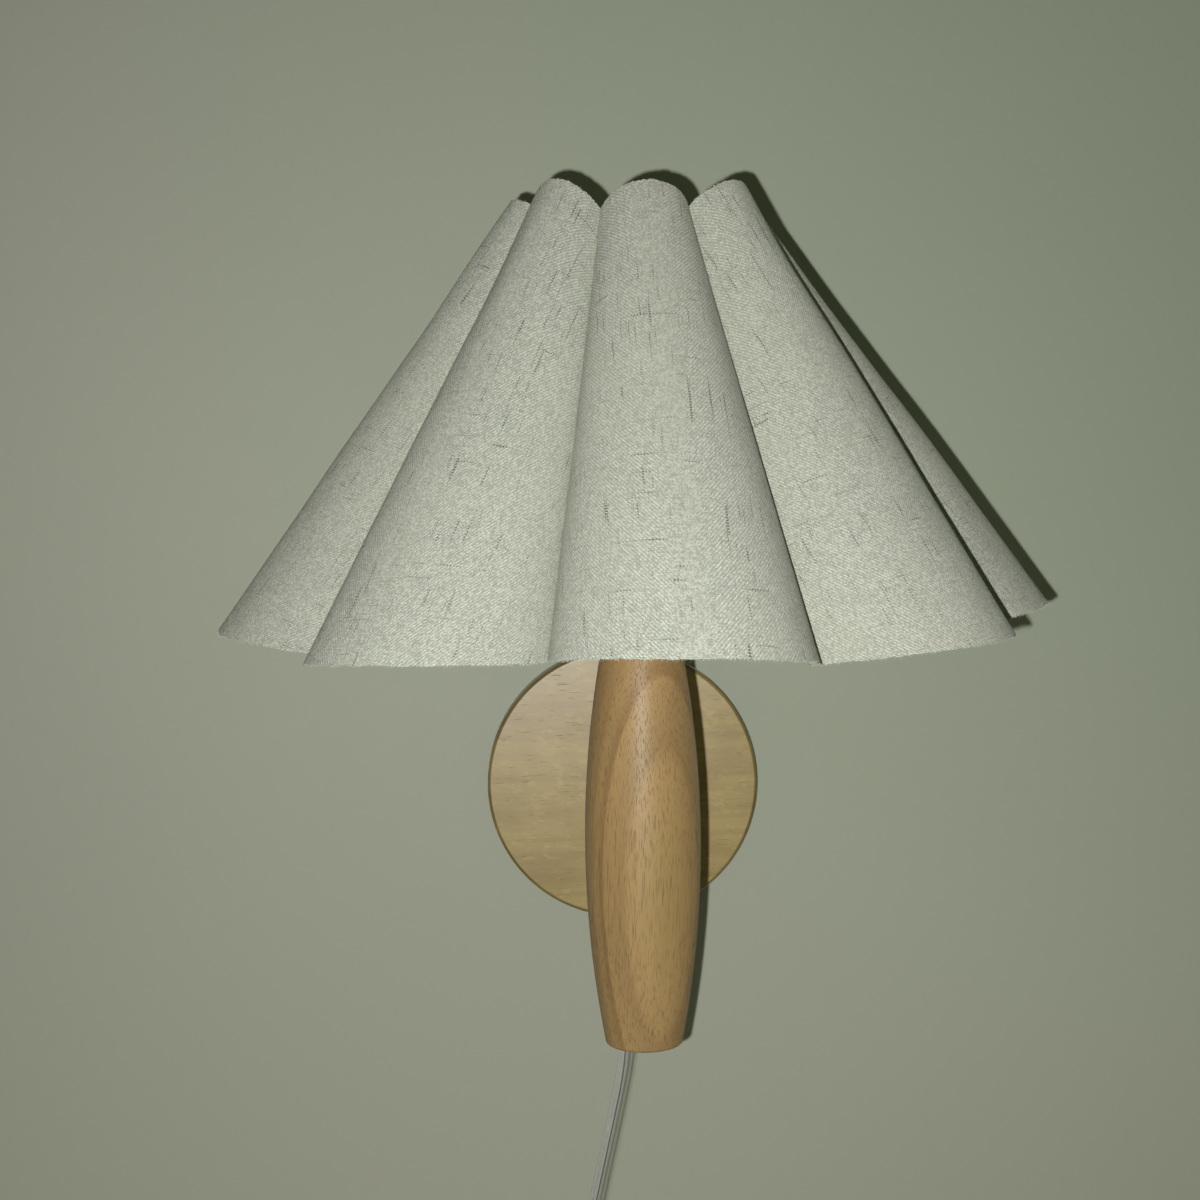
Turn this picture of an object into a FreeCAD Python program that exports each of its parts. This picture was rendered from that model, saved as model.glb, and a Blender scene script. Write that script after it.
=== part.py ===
import FreeCAD, Part
import os
from math import atan2, cos, hypot, pi, radians, sin, sqrt, tan

from FreeCAD import Placement, Rotation, Vector

# Fabric shade wall light. Millimetres. The origin is the centre of the wall plate's
# back face, on the wall. +X is the viewer's right, +Y goes into the wall, +Z is up.

doc = FreeCAD.newDocument("ShadeWallLight")
sheet = doc.addObject("Spreadsheet::Sheet", "Sizes")
rows = {}


class Size:
    """A length that keeps its spreadsheet formula beside its value."""

    def __init__(self, value, formula):
        self.value = float(value)
        self.formula = formula

    def __add__(self, other):
        other = plain(other)
        return Size(self.value + other.value, f"({self.formula} + {other.formula})")

    def __sub__(self, other):
        other = plain(other)
        return Size(self.value - other.value, f"({self.formula} - {other.formula})")

    def __mul__(self, other):
        other = plain(other)
        return Size(self.value * other.value, f"({self.formula} * {other.formula})")

    def __truediv__(self, other):
        other = plain(other)
        return Size(self.value / other.value, f"({self.formula} / {other.formula})")

    def __neg__(self):
        return Size(-self.value, f"(0 - {self.formula})")

    def __radd__(self, other):
        return plain(other) + self

    def __rsub__(self, other):
        return plain(other) - self


def plain(number):
    """A bare number as a Size."""
    if isinstance(number, Size):
        return number
    return Size(number, f"{float(number):g}" if number >= 0 else f"(0 - {-float(number):g})")


def size(alias, value):
    """One driving dimension, written into the sheet."""
    row = len(rows) + 1
    rows[alias] = float(value)
    sheet.set(f"A{row}", alias)
    sheet.set(f"B{row}", f"{float(value):g}")
    sheet.setAlias(f"B{row}", alias)
    return Size(value, f"Sizes.{alias}")


# ---------------------------------------------------------------- driving sizes

# wall plate, a turned wooden disc
plate_dia = size("plate_dia", 120)
plate_thick = size("plate_thick", 16)
plate_round = size("plate_round", 1.5)
plate_back_edge = size("plate_back_edge", 0.8)
arm_seat_depth = size("arm_seat_depth", 2)

# recess in the plate's back, and the keyhole strip across it
pocket_width = size("pocket_width", 80)
pocket_height = size("pocket_height", 22)
pocket_depth = size("pocket_depth", 8)
strip_width = size("strip_width", 103)
strip_height = size("strip_height", 21.4)
strip_thick = size("strip_thick", 1.5)
strip_gap = size("strip_gap", 0.25)
strip_screw_x = size("strip_screw_x", 46)
strip_screw_length = size("strip_screw_length", 11)
keyhole_x = size("keyhole_x", 25)
keyhole_drop = size("keyhole_drop", 4)
keyhole_rise = size("keyhole_rise", 4)
keyhole_head_rad = size("keyhole_head_rad", 4.6)
keyhole_slot_rad = size("keyhole_slot_rad", 2.3)

# arm, and what clamps it to the plate
arm_dia = size("arm_dia", 25)
arm_chamfer = size("arm_chamfer", 0.8)
arm_bolt_rad = size("arm_bolt_rad", 3)
arm_bolt_head_rad = size("arm_bolt_head_rad", 5.8)
arm_bolt_head_tall = size("arm_bolt_head_tall", 3.8)
arm_bolt_shank = size("arm_bolt_shank", 19)
arm_washer_rad = size("arm_washer_rad", 9)
arm_washer_thick = size("arm_washer_thick", 1.5)
arm_insert_rad = size("arm_insert_rad", 4.5)
arm_insert_length = size("arm_insert_length", 13)
dowel_rad = size("dowel_rad", 2.5)
dowel_high = size("dowel_high", 8.5)
dowel_length = size("dowel_length", 13)
dowel_in_plate = size("dowel_in_plate", 4.6)

# swivel where the spindle turns on the arm's end
axis_from_wall = size("axis_from_wall", 155)
stud_rad = size("stud_rad", 4)
stud_in_arm = size("stud_in_arm", 23)
stud_in_spindle = size("stud_in_spindle", 9.2)
friction_washer_thick = size("friction_washer_thick", 1)
friction_washer_rad = size("friction_washer_rad", 11.5)
swivel_gap = size("swivel_gap", 0.15)
swivel_seat = size("swivel_seat", 17)
spotface_depth = size("spotface_depth", 10)
spindle_insert_rad = size("spindle_insert_rad", 5.5)
spindle_insert_length = size("spindle_insert_length", 9.6)

# spindle, a turned barrel
spindle_length = size("spindle_length", 150)
spindle_rad = size("spindle_rad", 21.25)
spindle_end_rad = size("spindle_end_rad", 14.3)
spindle_edge = size("spindle_edge", 1.5)
bore_rad = size("bore_rad", 4)
nipple_rad = size("nipple_rad", 5)
nipple_bore_rad = size("nipple_bore_rad", 3.6)
nipple_depth = size("nipple_depth", 27)
nipple_proud = size("nipple_proud", 9)
bushing_rad = size("bushing_rad", 10.8)
bushing_tall = size("bushing_tall", 12)
bushing_cup_rad = size("bushing_cup_rad", 9.9)
bushing_cup_deep = size("bushing_cup_deep", 5)
fit_gap = size("fit_gap", 0.06)

# lampholder, upright on the spindle's top
seat_washer_rad = size("seat_washer_rad", 12)
seat_washer_thick = size("seat_washer_thick", 1.5)
holder_rad = size("holder_rad", 19)
holder_foot_rad = size("holder_foot_rad", 13)
holder_wall = size("holder_wall", 1.8)
holder_cap_tall = size("holder_cap_tall", 22)
holder_body_tall = size("holder_body_tall", 33)
holder_cone_tall = size("holder_cone_tall", 7.5)
holder_floor = size("holder_floor", 2.2)
terminal_x = size("terminal_x", 9.5)
terminal_long = size("terminal_long", 6.5)
insulator_low = size("insulator_low", 14)
insulator_flange = size("insulator_flange", 8)
insulator_tall = size("insulator_tall", 11)
shell_bore_rad = size("shell_bore_rad", 13.5)
shell_wall = size("shell_wall", 0.6)
shell_tall = size("shell_tall", 24)
shell_floor_hole = size("shell_floor_hole", 8)
bulb_cap_rad = size("bulb_cap_rad", 13.22)
ring_nut_rad = size("ring_nut_rad", 23.4)
ring_nut_thick = size("ring_nut_thick", 3.4)
ring_nut_low = size("ring_nut_low", 34)

# bulb
bulb_rad = size("bulb_rad", 30)
bulb_glass_wall = size("bulb_glass_wall", 1)
bulb_tall = size("bulb_tall", 107)
bulb_cap_tall = size("bulb_cap_tall", 25)
bulb_neck_curve = size("bulb_neck_curve", 46)

# shade: round flutes between sharp creases, whose lower ends are level with the spindle's top
flutes = 8
shade_tall = size("shade_tall", 151)
shade_out_low = size("shade_out_low", 149.5)
shade_out_top = size("shade_out_top", 45.5)
crease_low = size("crease_low", 107.5)
crease_top = size("crease_top", 40)
rim_rise_low = size("rim_rise_low", 6)
rim_rise_top = size("rim_rise_top", 7.5)
cloth_thick = size("cloth_thick", 0.8)
shade_turn = size("shade_turn", 2.2)

# wire carrier that holds the shade on the lampholder
wire_rad = size("wire_rad", 1.25)
fitter_rad = size("fitter_rad", 24.5)
fitter_thick = size("fitter_thick", 2)
hoop_rise = size("hoop_rise", 47)
crease_slack = size("crease_slack", 1.15)
spokes = 4

# cord and what is on it
cord_dia = size("cord_dia", 4)
cord_length = size("cord_length", 1800)
lead_rad = size("lead_rad", 1.1)
coil_across = size("coil_across", 11.55)
coil_pitch = size("coil_pitch", 4.45)
coil_layers = 4
coil_turns_each = 2.75
tie_width = size("tie_width", 4)
tie_thick = size("tie_thick", 1.1)
switch_long = size("switch_long", 52)
switch_wide = size("switch_wide", 25)
switch_deep = size("switch_deep", 19)
switch_back = size("switch_back", 6.5)
rocker_long = size("rocker_long", 19)
rocker_wide = size("rocker_wide", 11.4)
rocker_deep = size("rocker_deep", 5.6)
rocker_gap = size("rocker_gap", 0.8)
rocker_tilt = size("rocker_tilt", 8)
rocker_pin_rad = size("rocker_pin_rad", 1)
switch_corner = size("switch_corner", 7)
switch_screw_in = size("switch_screw_in", 4.2)
switch_screw_up = size("switch_screw_up", 6)
switch_screw_long = size("switch_screw_long", 9.2)
contact_thick = size("contact_thick", 0.8)
contact_deep = size("contact_deep", 3)
contact_long = size("contact_long", 12)
plug_wide = size("plug_wide", 24)
plug_deep = size("plug_deep", 14)
plug_tall = size("plug_tall", 22)
plug_relief_tall = size("plug_relief_tall", 20)
blade_wide = size("blade_wide", 6.3)
blade_thick = size("blade_thick", 1.5)
blade_long = size("blade_long", 16)
blade_apart = size("blade_apart", 12.7)

doc.recompute()

# How far each crease and flute stands off the regular form, at the lower and upper rim,
# as the photo shows the five flutes in front, from the left. The three behind are regular.
CREASE_TURN = [(0, 0), (1, 0), (1.2, -1.4), (0.6, -1.4), (-0.5, 0), (0.3, 0), (0, 0), (0, 0)]
CREASE_REACH = [(0, 0), (0, 1), (-1, 1.5), (1.5, -2), (0.5, -0.5), (-1, 0), (0, 0), (0, 0)]
CREASE_RISE = [(0, -1), (-3.3, 2), (-0.3, -2.5), (-2, -1), (2.5, 2.5), (2, -1), (0, 0), (0, 0)]
FLUTE_REACH = [(2.5, 0.5), (-1.5, -0.5), (0, -1.5), (-4.5, -1), (0, -5), (0, 0), (0, 0), (0, 0)]
FLUTE_RISE = [(0.5, -2), (-4, 1.5), (-0.5, 0.5), (-1.5, 0.5), (4, -1.5), (0, 0), (0, 0), (0, 0)]

# The cord's free run, hand-set: x from the spindle's axis and z from its lower end, in
# the plane of that axis. The switch sits on the run from the fourth point to the fifth.
CORD_DOWN = [
    (-7.3, 6.5),
    (-7.3, -6.0),
    (-12.6, -31.0),
    (-22.2, -74.0),
    (-34.0, -128.0),
    (-42.3, -164.0),
]
PLUG_DROP = [(-45.3, -177.0), (-45.6, -192.0)]

# ---------------------------------------------------------------- building blocks

OUT = Rotation(Vector(1, 0, 0), 90)  # turns a piece's own +Z to point out of the wall
UPRIGHT = Rotation()
nodes = []


def bind(thing, **formulas):
    """Ties properties to the sheet. A double underscore stands for a dot."""
    for name, length in formulas.items():
        thing.setExpression(name.replace("__", "."), plain(length).formula)
    return thing


def place(thing, x=0, y=0, z=0, turn=UPRIGHT):
    thing.Placement = Placement(Vector(plain(x).value, plain(y).value, plain(z).value), turn)
    return bind(thing, Placement__Base__x=x, Placement__Base__y=y, Placement__Base__z=z)


def rod(name, radius, height, x=0, y=0, z=0, turn=UPRIGHT):
    thing = doc.addObject("Part::Cylinder", name)
    bind(thing, Radius=radius, Height=height)
    return place(thing, x, y, z, turn)


def block(name, length, width, height, x=0, y=0, z=0):
    """A box centred on x and y, standing on z."""
    thing = doc.addObject("Part::Box", name)
    bind(thing, Length=length, Width=width, Height=height)
    return place(thing, plain(x) - plain(length) / 2, plain(y) - plain(width) / 2, z)


def cone(name, low, high, height, x=0, y=0, z=0, turn=UPRIGHT):
    thing = doc.addObject("Part::Cone", name)
    bind(thing, Radius1=low, Radius2=high, Height=height)
    return place(thing, x, y, z, turn)


def join(name, pieces):
    thing = doc.addObject("Part::MultiFuse", name)
    thing.Shapes = pieces
    return thing


def cut(name, base, *tools):
    thing = doc.addObject("Part::Cut", name)
    thing.Base = base
    thing.Tool = tools[0] if len(tools) == 1 else join(name + "_tools", list(tools))
    return thing


def group(name, pieces):
    thing = doc.addObject("Part::Compound", name)
    thing.Links = pieces
    return thing


def loose(name, shape):
    thing = doc.addObject("Part::Feature", name)
    thing.Shape = shape
    return thing


def node(thing, label):
    """Marks a finished piece: its label is its file and node name."""
    thing.Label = label
    nodes.append(thing)
    return thing


def turned(name, outline, x=0, y=0, z=0, turn=UPRIGHT):
    """A lathe-turned body. outline lists (radius, height); a third value makes the
    stretch that ends there an arc of that radius, to the right of the way it goes,
    or to the left where it is negative."""
    body = doc.addObject("PartDesign::Body", name)
    sketch = body.newObject("Sketcher::SketchObject", name + "_outline")
    sketch.Placement = Placement(Vector(), OUT)
    spots = [(plain(p[0]), plain(p[1])) for p in outline]
    for k, point in enumerate(outline):
        (r0, h0), (r1, h1) = spots[k - 1], spots[k]
        start, end = Vector(r0.value, h0.value, 0), Vector(r1.value, h1.value, 0)
        radius = plain(point[2]) if len(point) == 3 else plain(0)
        low, high = spots[k - 1], spots[k]
        if radius.value < 0:
            radius, low, high, start, end = -radius, high, low, end, start
        if radius.value:
            chord = end - start
            side = Vector(chord.y, -chord.x, 0).normalize()
            sag = radius.value - sqrt(max(radius.value**2 - (chord.Length / 2) ** 2, 0))
            edge = sketch.addGeometry(Part.Arc(start, (start + end) / 2 + side * sag, end))
            number = sketch.addConstraint(Constraint("Radius", edge, radius.value))
            sketch.setExpression(f"Constraints[{number}]", radius.formula)
        else:
            edge = sketch.addGeometry(Part.LineSegment(start, end))
        pin_ends(sketch, edge, low, high)
    spin = body.newObject("PartDesign::Revolution", name + "_spin")
    spin.Profile = sketch
    spin.ReferenceAxis = (sketch, ["V_Axis"])
    spin.Angle = 360
    body.Tip = spin
    place(body, x, y, z, turn)
    return body


def pin_ends(sketch, edge, low, high):
    """Ties an edge's two ends to the sheet, from the sketch's origin."""
    for which, spot in ((1, low), (2, high)):
        for kind, length in (("DistanceX", spot[0]), ("DistanceY", spot[1])):
            number = sketch.addConstraint(Constraint(kind, -1, 1, edge, which, length.value))
            if "Sizes" in length.formula:
                sketch.setExpression(f"Constraints[{number}]", length.formula)


def Constraint(*terms):
    import Sketcher

    return Sketcher.Constraint(*terms)


# ---------------------------------------------------------------- wall plate and arm

plate_rad = plate_dia / 2
arm_rad = arm_dia / 2
axis_y = -axis_from_wall
bolt_hole_rad = arm_bolt_rad + 0.3
plate_front = plate_thick - arm_seat_depth
arm_front = axis_from_wall - swivel_seat - swivel_gap - friction_washer_thick
arm_length = arm_front - plate_front

plate_turning = turned(
    "plate_turning",
    [
        (bolt_hole_rad, 0),
        (plate_rad - plate_back_edge, 0),
        (plate_rad, plate_back_edge),
        (plate_rad, plate_thick - plate_round),
        (plate_rad - plate_round, plate_thick, plate_round),
        (arm_rad + 0.3, plate_thick),
        (arm_rad + 0.3, plate_front),
        (bolt_hole_rad, plate_front),
    ],
    turn=OUT,
)
node(
    cut(
        "plate_cut",
        plate_turning,
        block("pocket", pocket_width, pocket_depth, pocket_height, 0, -pocket_depth / 2, -pocket_height / 2),
        block(
            "rebate",
            strip_width + strip_gap * 2,
            strip_thick,
            strip_height + strip_gap * 2,
            0,
            -strip_thick / 2,
            -strip_height / 2 - strip_gap,
        ),
        rod(
            "dowel_hole",
            dowel_rad + fit_gap,
            dowel_in_plate + 0.4,
            0,
            -plate_front + dowel_in_plate + 0.4,
            dowel_high,
            OUT,
        ),
        rod("strip_hole_left", 1.8, strip_screw_length + 0.5, -strip_screw_x, 0, 0, OUT),
        rod("strip_hole_right", 1.8, strip_screw_length + 0.5, strip_screw_x, 0, 0, OUT),
    ),
    "wall_plate",
)


def keyhole(side, x):
    """Round entry low, slot rising from it, and the shank's seat at the slot's top."""
    deep = strip_thick + 2
    slot_wide, slot_tall = keyhole_slot_rad * 2, keyhole_rise + keyhole_drop
    return [
        rod(f"entry_{side}", keyhole_head_rad, deep, x, 1, -keyhole_drop, OUT),
        rod(f"seat_{side}", keyhole_slot_rad, deep, x, 1, keyhole_rise, OUT),
        block(f"slot_{side}", slot_wide, deep, slot_tall, x, 1 - deep / 2, -keyhole_drop),
    ]


def countersink(side, x):
    return cone(f"sink_{side}", 3.7, 1.95, strip_thick, x, 0, 0, OUT)


node(
    cut(
        "strip_cut",
        block("strip", strip_width, strip_thick, strip_height, 0, -strip_thick / 2, -strip_height / 2),
        *keyhole("left", -keyhole_x),
        *keyhole("right", keyhole_x),
        countersink("left", -strip_screw_x),
        countersink("right", strip_screw_x),
    ),
    "hanging_strip",
)


def wood_screw(side, x):
    return turned(
        f"wood_screw_{side}",
        [
            (0, 0.1),
            (3.3, 0.1),
            (1.7, strip_thick),
            (1.7, strip_screw_length - 2),
            (0, strip_screw_length),
        ],
        x,
        turn=OUT,
    )


strip_screws = [wood_screw("left", -strip_screw_x), wood_screw("right", strip_screw_x)]
node(group("strip_screws", strip_screws), "hanging_strip_screws")

bolt_seat = pocket_depth - arm_washer_thick
node(
    turned(
        "bolt",
        [
            (0, 0),
            (arm_bolt_head_rad - 1.2, 0),
            (arm_bolt_head_rad, 1.2, 1.3),
            (arm_bolt_head_rad, arm_bolt_head_tall),
            (arm_bolt_rad, arm_bolt_head_tall),
            (arm_bolt_rad, arm_bolt_head_tall + arm_bolt_shank),
            (0, arm_bolt_head_tall + arm_bolt_shank),
        ],
        0,
        arm_bolt_head_tall - bolt_seat,
        turn=OUT,
    ),
    "arm_bolt",
)


def ring(name, inner, outer, thick, x=0, y=0, z=0, turn=UPRIGHT):
    return turned(name, [(inner, 0), (outer, 0), (outer, thick), (inner, thick)], x, y, z, turn)


node(
    ring("bolt_washer", bolt_hole_rad, arm_washer_rad, arm_washer_thick, 0, -bolt_seat, 0, OUT),
    "arm_bolt_washer",
)
arm_insert_bore = arm_bolt_rad + fit_gap
node(
    ring("arm_sleeve", arm_insert_bore, arm_insert_rad, arm_insert_length, 0, -plate_front - 0.2, 0, OUT),
    "arm_threaded_insert",
)
node(rod("dowel", dowel_rad, dowel_length, 0, -plate_front + dowel_in_plate, dowel_high, OUT), "arm_dowel")

arm_turning = turned(
    "arm_turning",
    [
        (0, 0),
        (arm_rad - arm_chamfer, 0),
        (arm_rad, arm_chamfer),
        (arm_rad, arm_length - arm_chamfer),
        (arm_rad - arm_chamfer, arm_length),
        (0, arm_length),
    ],
    0,
    -plate_front,
    turn=OUT,
)
node(
    cut(
        "arm_cut",
        arm_turning,
        rod("arm_insert_hole", arm_insert_rad + fit_gap, arm_insert_length + 0.4, 0, -plate_front, 0, OUT),
        rod("arm_bolt_hole", arm_bolt_rad + 0.3, arm_bolt_shank - 4, 0, -plate_front, 0, OUT),
        rod(
            "arm_dowel_hole",
            dowel_rad + fit_gap,
            dowel_length - dowel_in_plate + 0.3,
            0,
            -plate_front,
            dowel_high,
            OUT,
        ),
        rod("stud_hole", stud_rad + fit_gap, stud_in_arm + 0.3, 0, -arm_front + stud_in_arm + 0.3, 0, OUT),
    ),
    "arm",
)

# ---------------------------------------------------------------- swivel

stud_length = stud_in_arm + friction_washer_thick + swivel_gap + stud_in_spindle
node(rod("stud", stud_rad, stud_length, 0, -arm_front + stud_in_arm, 0, OUT), "swivel_stud")
node(
    ring("friction_ring", stud_rad + 0.3, friction_washer_rad, friction_washer_thick, 0, -arm_front, 0, OUT),
    "swivel_friction_washer",
)
seat_y = swivel_seat - axis_from_wall
node(
    ring(
        "spindle_sleeve",
        stud_rad + 0.08,
        spindle_insert_rad,
        spindle_insert_length,
        0,
        seat_y - 0.2,
        turn=OUT,
    ),
    "spindle_threaded_insert",
)

# ---------------------------------------------------------------- spindle

half_spindle = spindle_length / 2
barrel_half = half_spindle - spindle_edge
barrel_sag = spindle_rad - spindle_end_rad
barrel_curve = (barrel_half * barrel_half + barrel_sag * barrel_sag) / (barrel_sag * 2)
spindle_turning = turned(
    "spindle_turning",
    [
        (0, -half_spindle),
        (spindle_end_rad - spindle_edge, -half_spindle),
        (spindle_end_rad, -barrel_half, spindle_edge),
        (spindle_end_rad, barrel_half, barrel_curve),
        (spindle_end_rad - spindle_edge, half_spindle, spindle_edge),
        (0, half_spindle),
    ],
    0,
    axis_y,
)
node(
    cut(
        "spindle_cut",
        spindle_turning,
        rod("lead_bore", bore_rad, spindle_length, 0, axis_y, -half_spindle),
        rod("nipple_hole", nipple_rad + fit_gap, nipple_depth + 1, 0, axis_y, half_spindle - nipple_depth),
        rod("bushing_hole", bushing_rad + fit_gap, bushing_tall + 0.2, 0, axis_y, -half_spindle),
        rod("arm_spotface", arm_rad + 0.6, spotface_depth, 0, seat_y + spotface_depth, 0, OUT),
        rod("insert_hole", spindle_insert_rad + fit_gap, spindle_insert_length + 0.5, 0, seat_y, 0, OUT),
    ),
    "spindle",
)

cord_out = plain(-CORD_DOWN[0][0])
cord_hole_rad = cord_dia / 2 + 0.3
bushing_cup_z = bushing_tall - half_spindle - bushing_cup_deep
node(
    cut(
        "bushing_cut",
        rod("bushing_blank", bushing_rad, bushing_tall, 0, axis_y, -half_spindle),
        rod("bushing_cup", bushing_cup_rad, bushing_cup_deep + 1, 0, axis_y, bushing_cup_z),
        rod("bushing_hole_out", cord_hole_rad, bushing_tall - 1, -cord_out, axis_y, -half_spindle - 1),
    ),
    "cord_bushing",
)

lead_low = bushing_cup_z + 1
holder_z = half_spindle + seat_washer_thick
insulator_z = holder_z + insulator_low
node(
    group(
        "leads",
        [
            rod("lead_left", lead_rad, insulator_z - lead_low - 0.5, -lead_rad - 0.2, axis_y, lead_low),
            rod("lead_right", lead_rad, insulator_z - lead_low - 0.5, lead_rad + 0.2, axis_y, lead_low),
        ],
    ),
    "lampholder_leads",
)

# ---------------------------------------------------------------- lampholder

nipple_tall = nipple_depth + nipple_proud
nipple_z = half_spindle - nipple_depth
node(ring("nipple_tube", nipple_bore_rad, nipple_rad, nipple_tall, 0, axis_y, nipple_z), "nipple")
node(
    ring("seat_ring", nipple_rad + 0.3, seat_washer_rad, seat_washer_thick, 0, axis_y, half_spindle),
    "lampholder_seat_washer",
)
cap_bore = holder_rad - holder_wall
node(
    turned(
        "cap",
        [
            (nipple_rad + 0.3, 0),
            (holder_foot_rad, 0),
            (holder_rad, holder_cone_tall),
            (holder_rad, holder_cap_tall),
            (cap_bore, holder_cap_tall),
            (cap_bore, holder_cone_tall + 1),
            (holder_foot_rad - holder_wall + 0.6, holder_floor),
            (nipple_rad + 0.3, holder_floor),
        ],
        0,
        axis_y,
        holder_z,
    ),
    "lampholder_cap",
)
nut_blank = doc.addObject("Part::Prism", "nut_blank")
nut_blank.Polygon = 6
bind(nut_blank, Circumradius=nipple_rad + 3, Height=3.4)
place(nut_blank, 0, axis_y, holder_z + holder_floor)
nut_hole = rod("nut_hole", nipple_rad + fit_gap, 4, 0, axis_y, holder_z + 2)
node(cut("nut_cut", nut_blank, nut_hole), "nipple_nut")

insulator = turned(
    "insulator",
    [
        (0, 0),
        (cap_bore - 0.2, 0),
        (cap_bore - 0.2, insulator_flange - 0.1),
        (shell_bore_rad, insulator_flange - 0.1),
        (shell_bore_rad, insulator_tall),
        (0, insulator_tall),
    ],
    0,
    axis_y,
    insulator_z,
)
node(
    cut(
        "insulator_cut",
        insulator,
        rod("screw_hole_left", 1.7, 5, -terminal_x, axis_y, insulator_z - 0.01),
        rod("screw_hole_right", 1.7, 5, terminal_x, axis_y, insulator_z - 0.01),
    ),
    "lampholder_insulator",
)


def terminal_screw(side, x):
    outline = [(0, 0), (2.5, 0), (2.5, 1.8), (1.6, 1.8), (1.6, terminal_long), (0, terminal_long)]
    return turned(f"terminal_{side}", outline, x, axis_y, insulator_z - 2)


terminals = [terminal_screw("left", -terminal_x), terminal_screw("right", terminal_x)]
node(group("terminals", terminals), "lampholder_terminal_screws")

shell_out = shell_bore_rad + shell_wall
body_z = holder_z + holder_cap_tall + 0.1
shell_z = insulator_z + insulator_tall
node(
    turned(
        "shell",
        [
            (shell_floor_hole, 0),
            (shell_out, 0),
            (shell_out, shell_tall),
            (shell_bore_rad, shell_tall),
            (shell_bore_rad, shell_wall),
            (shell_floor_hole, shell_wall),
        ],
        0,
        axis_y,
        shell_z,
    ),
    "lampholder_screw_shell",
)
node(
    turned(
        "tongue",
        [(0, 0), (4, 0), (4, 0.8), (2.2, 1.8, 2.5), (0, 1.8)],
        0,
        axis_y,
        shell_z,
    ),
    "lampholder_centre_contact",
)
node(
    turned(
        "sleeve",
        [
            (shell_out + 0.25, 0),
            (holder_rad, 0),
            (holder_rad, holder_body_tall - 1),
            (holder_rad - 1, holder_body_tall),
            (shell_bore_rad + 0.2, holder_body_tall),
            (shell_bore_rad + 0.2, holder_body_tall - 1.5),
            (shell_out + 0.25, holder_body_tall - 1.5),
        ],
        0,
        axis_y,
        body_z,
    ),
    "lampholder_body",
)
ring_low_z = holder_z + ring_nut_low
fitter_z = ring_low_z + ring_nut_thick
ring_top_z = fitter_z + fitter_thick
ring_nut_bore = holder_rad + 0.08
node(
    ring("ring_low", ring_nut_bore, ring_nut_rad, ring_nut_thick, 0, axis_y, ring_low_z),
    "shade_ring_lower",
)
node(
    ring("ring_top", ring_nut_bore, ring_nut_rad, ring_nut_thick, 0, axis_y, ring_top_z),
    "shade_ring_upper",
)

# ---------------------------------------------------------------- bulb

tip_z = shell_z + 1.9
cap_low_z = tip_z + 0.9
cap_top = bulb_cap_tall - 0.9
glass_z = cap_low_z + cap_top
glass_tall = bulb_tall - bulb_cap_tall
node(rod("tip", 4.6, 0.9, 0, axis_y, tip_z), "bulb_contact_tip")
node(
    turned(
        "screw_cap",
        [
            (0, 0),
            (8, 0),
            (bulb_cap_rad, 4),
            (bulb_cap_rad, cap_top - 1),
            (bulb_cap_rad - 0.8, cap_top),
            (0, cap_top),
        ],
        0,
        axis_y,
        cap_low_z,
    ),
    "bulb_screw_cap",
)


def bulb_outline():
    """Neck, flare and round end of the globe, outside then inside."""
    wall = bulb_glass_wall
    middle = glass_tall - bulb_rad
    neck = bulb_cap_rad - 0.6
    flare = bulb_rad * 0.8
    low = middle - bulb_rad * 0.6
    return [
        (neck, 0),
        (neck, 10),
        (flare, low, -bulb_neck_curve),
        (bulb_rad, middle, bulb_rad),
        (0, glass_tall, bulb_rad),
        (0, glass_tall - wall),
        (bulb_rad - wall, middle, -(bulb_rad - wall)),
        ((bulb_rad - wall) * 0.8, middle - (bulb_rad - wall) * 0.6, -(bulb_rad - wall)),
        (neck - wall, 10, bulb_neck_curve + wall),
        (neck - wall, 0),
    ]


node(turned("globe", bulb_outline(), 0, axis_y, glass_z), "bulb_globe")

# ---------------------------------------------------------------- shade

shade_axis = Vector(0, axis_y.value, 0)
step = 360 / flutes
FOLD = 1.3  # the fold's depth behind a crease, in thicknesses of the cloth


def around(radius, bearing, height):
    """A point at a bearing from straight out of the wall, turning to the viewer's right."""
    angle = radians(bearing + shade_turn.value)
    return shade_axis + Vector(radius * sin(angle), -radius * cos(angle), height)


def circle_centre(a, b, c):
    """The centre of the circle through three points."""
    ab, ac = b - a, c - a
    normal = ab.cross(ac)
    reach = normal.cross(ab) * ac.dot(ac) + ac.cross(normal) * ab.dot(ab)
    return a + reach / (2 * normal.dot(normal))


shade_low = half_spindle
RIMS = [
    (shade_low.value, crease_low.value, shade_out_low.value, rim_rise_low.value),
    (shade_low.value + shade_tall.value, crease_top.value, shade_out_top.value, rim_rise_top.value),
]


def crease(k, end, inset=0.0):
    """Crease k's point at the lower (0) or upper (1) rim."""
    k %= flutes
    height, reach, _, _ = RIMS[end]
    bearing = (k - 2.5) * step + CREASE_TURN[k][end]
    return around(reach + CREASE_REACH[k][end] - inset, bearing, height + CREASE_RISE[k][end])


def crown(k, end):
    """The rim's point furthest out on flute k, midway between its two creases."""
    _, _, reach, rise = RIMS[end]
    turn = (CREASE_TURN[k][end] + CREASE_TURN[(k + 1) % flutes][end]) / 2
    height = (crease(k, end).z + crease(k + 1, end).z) / 2 + rise + FLUTE_RISE[k][end]
    return around(reach + FLUTE_REACH[k][end], (k - 2) * step + turn, height)


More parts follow.
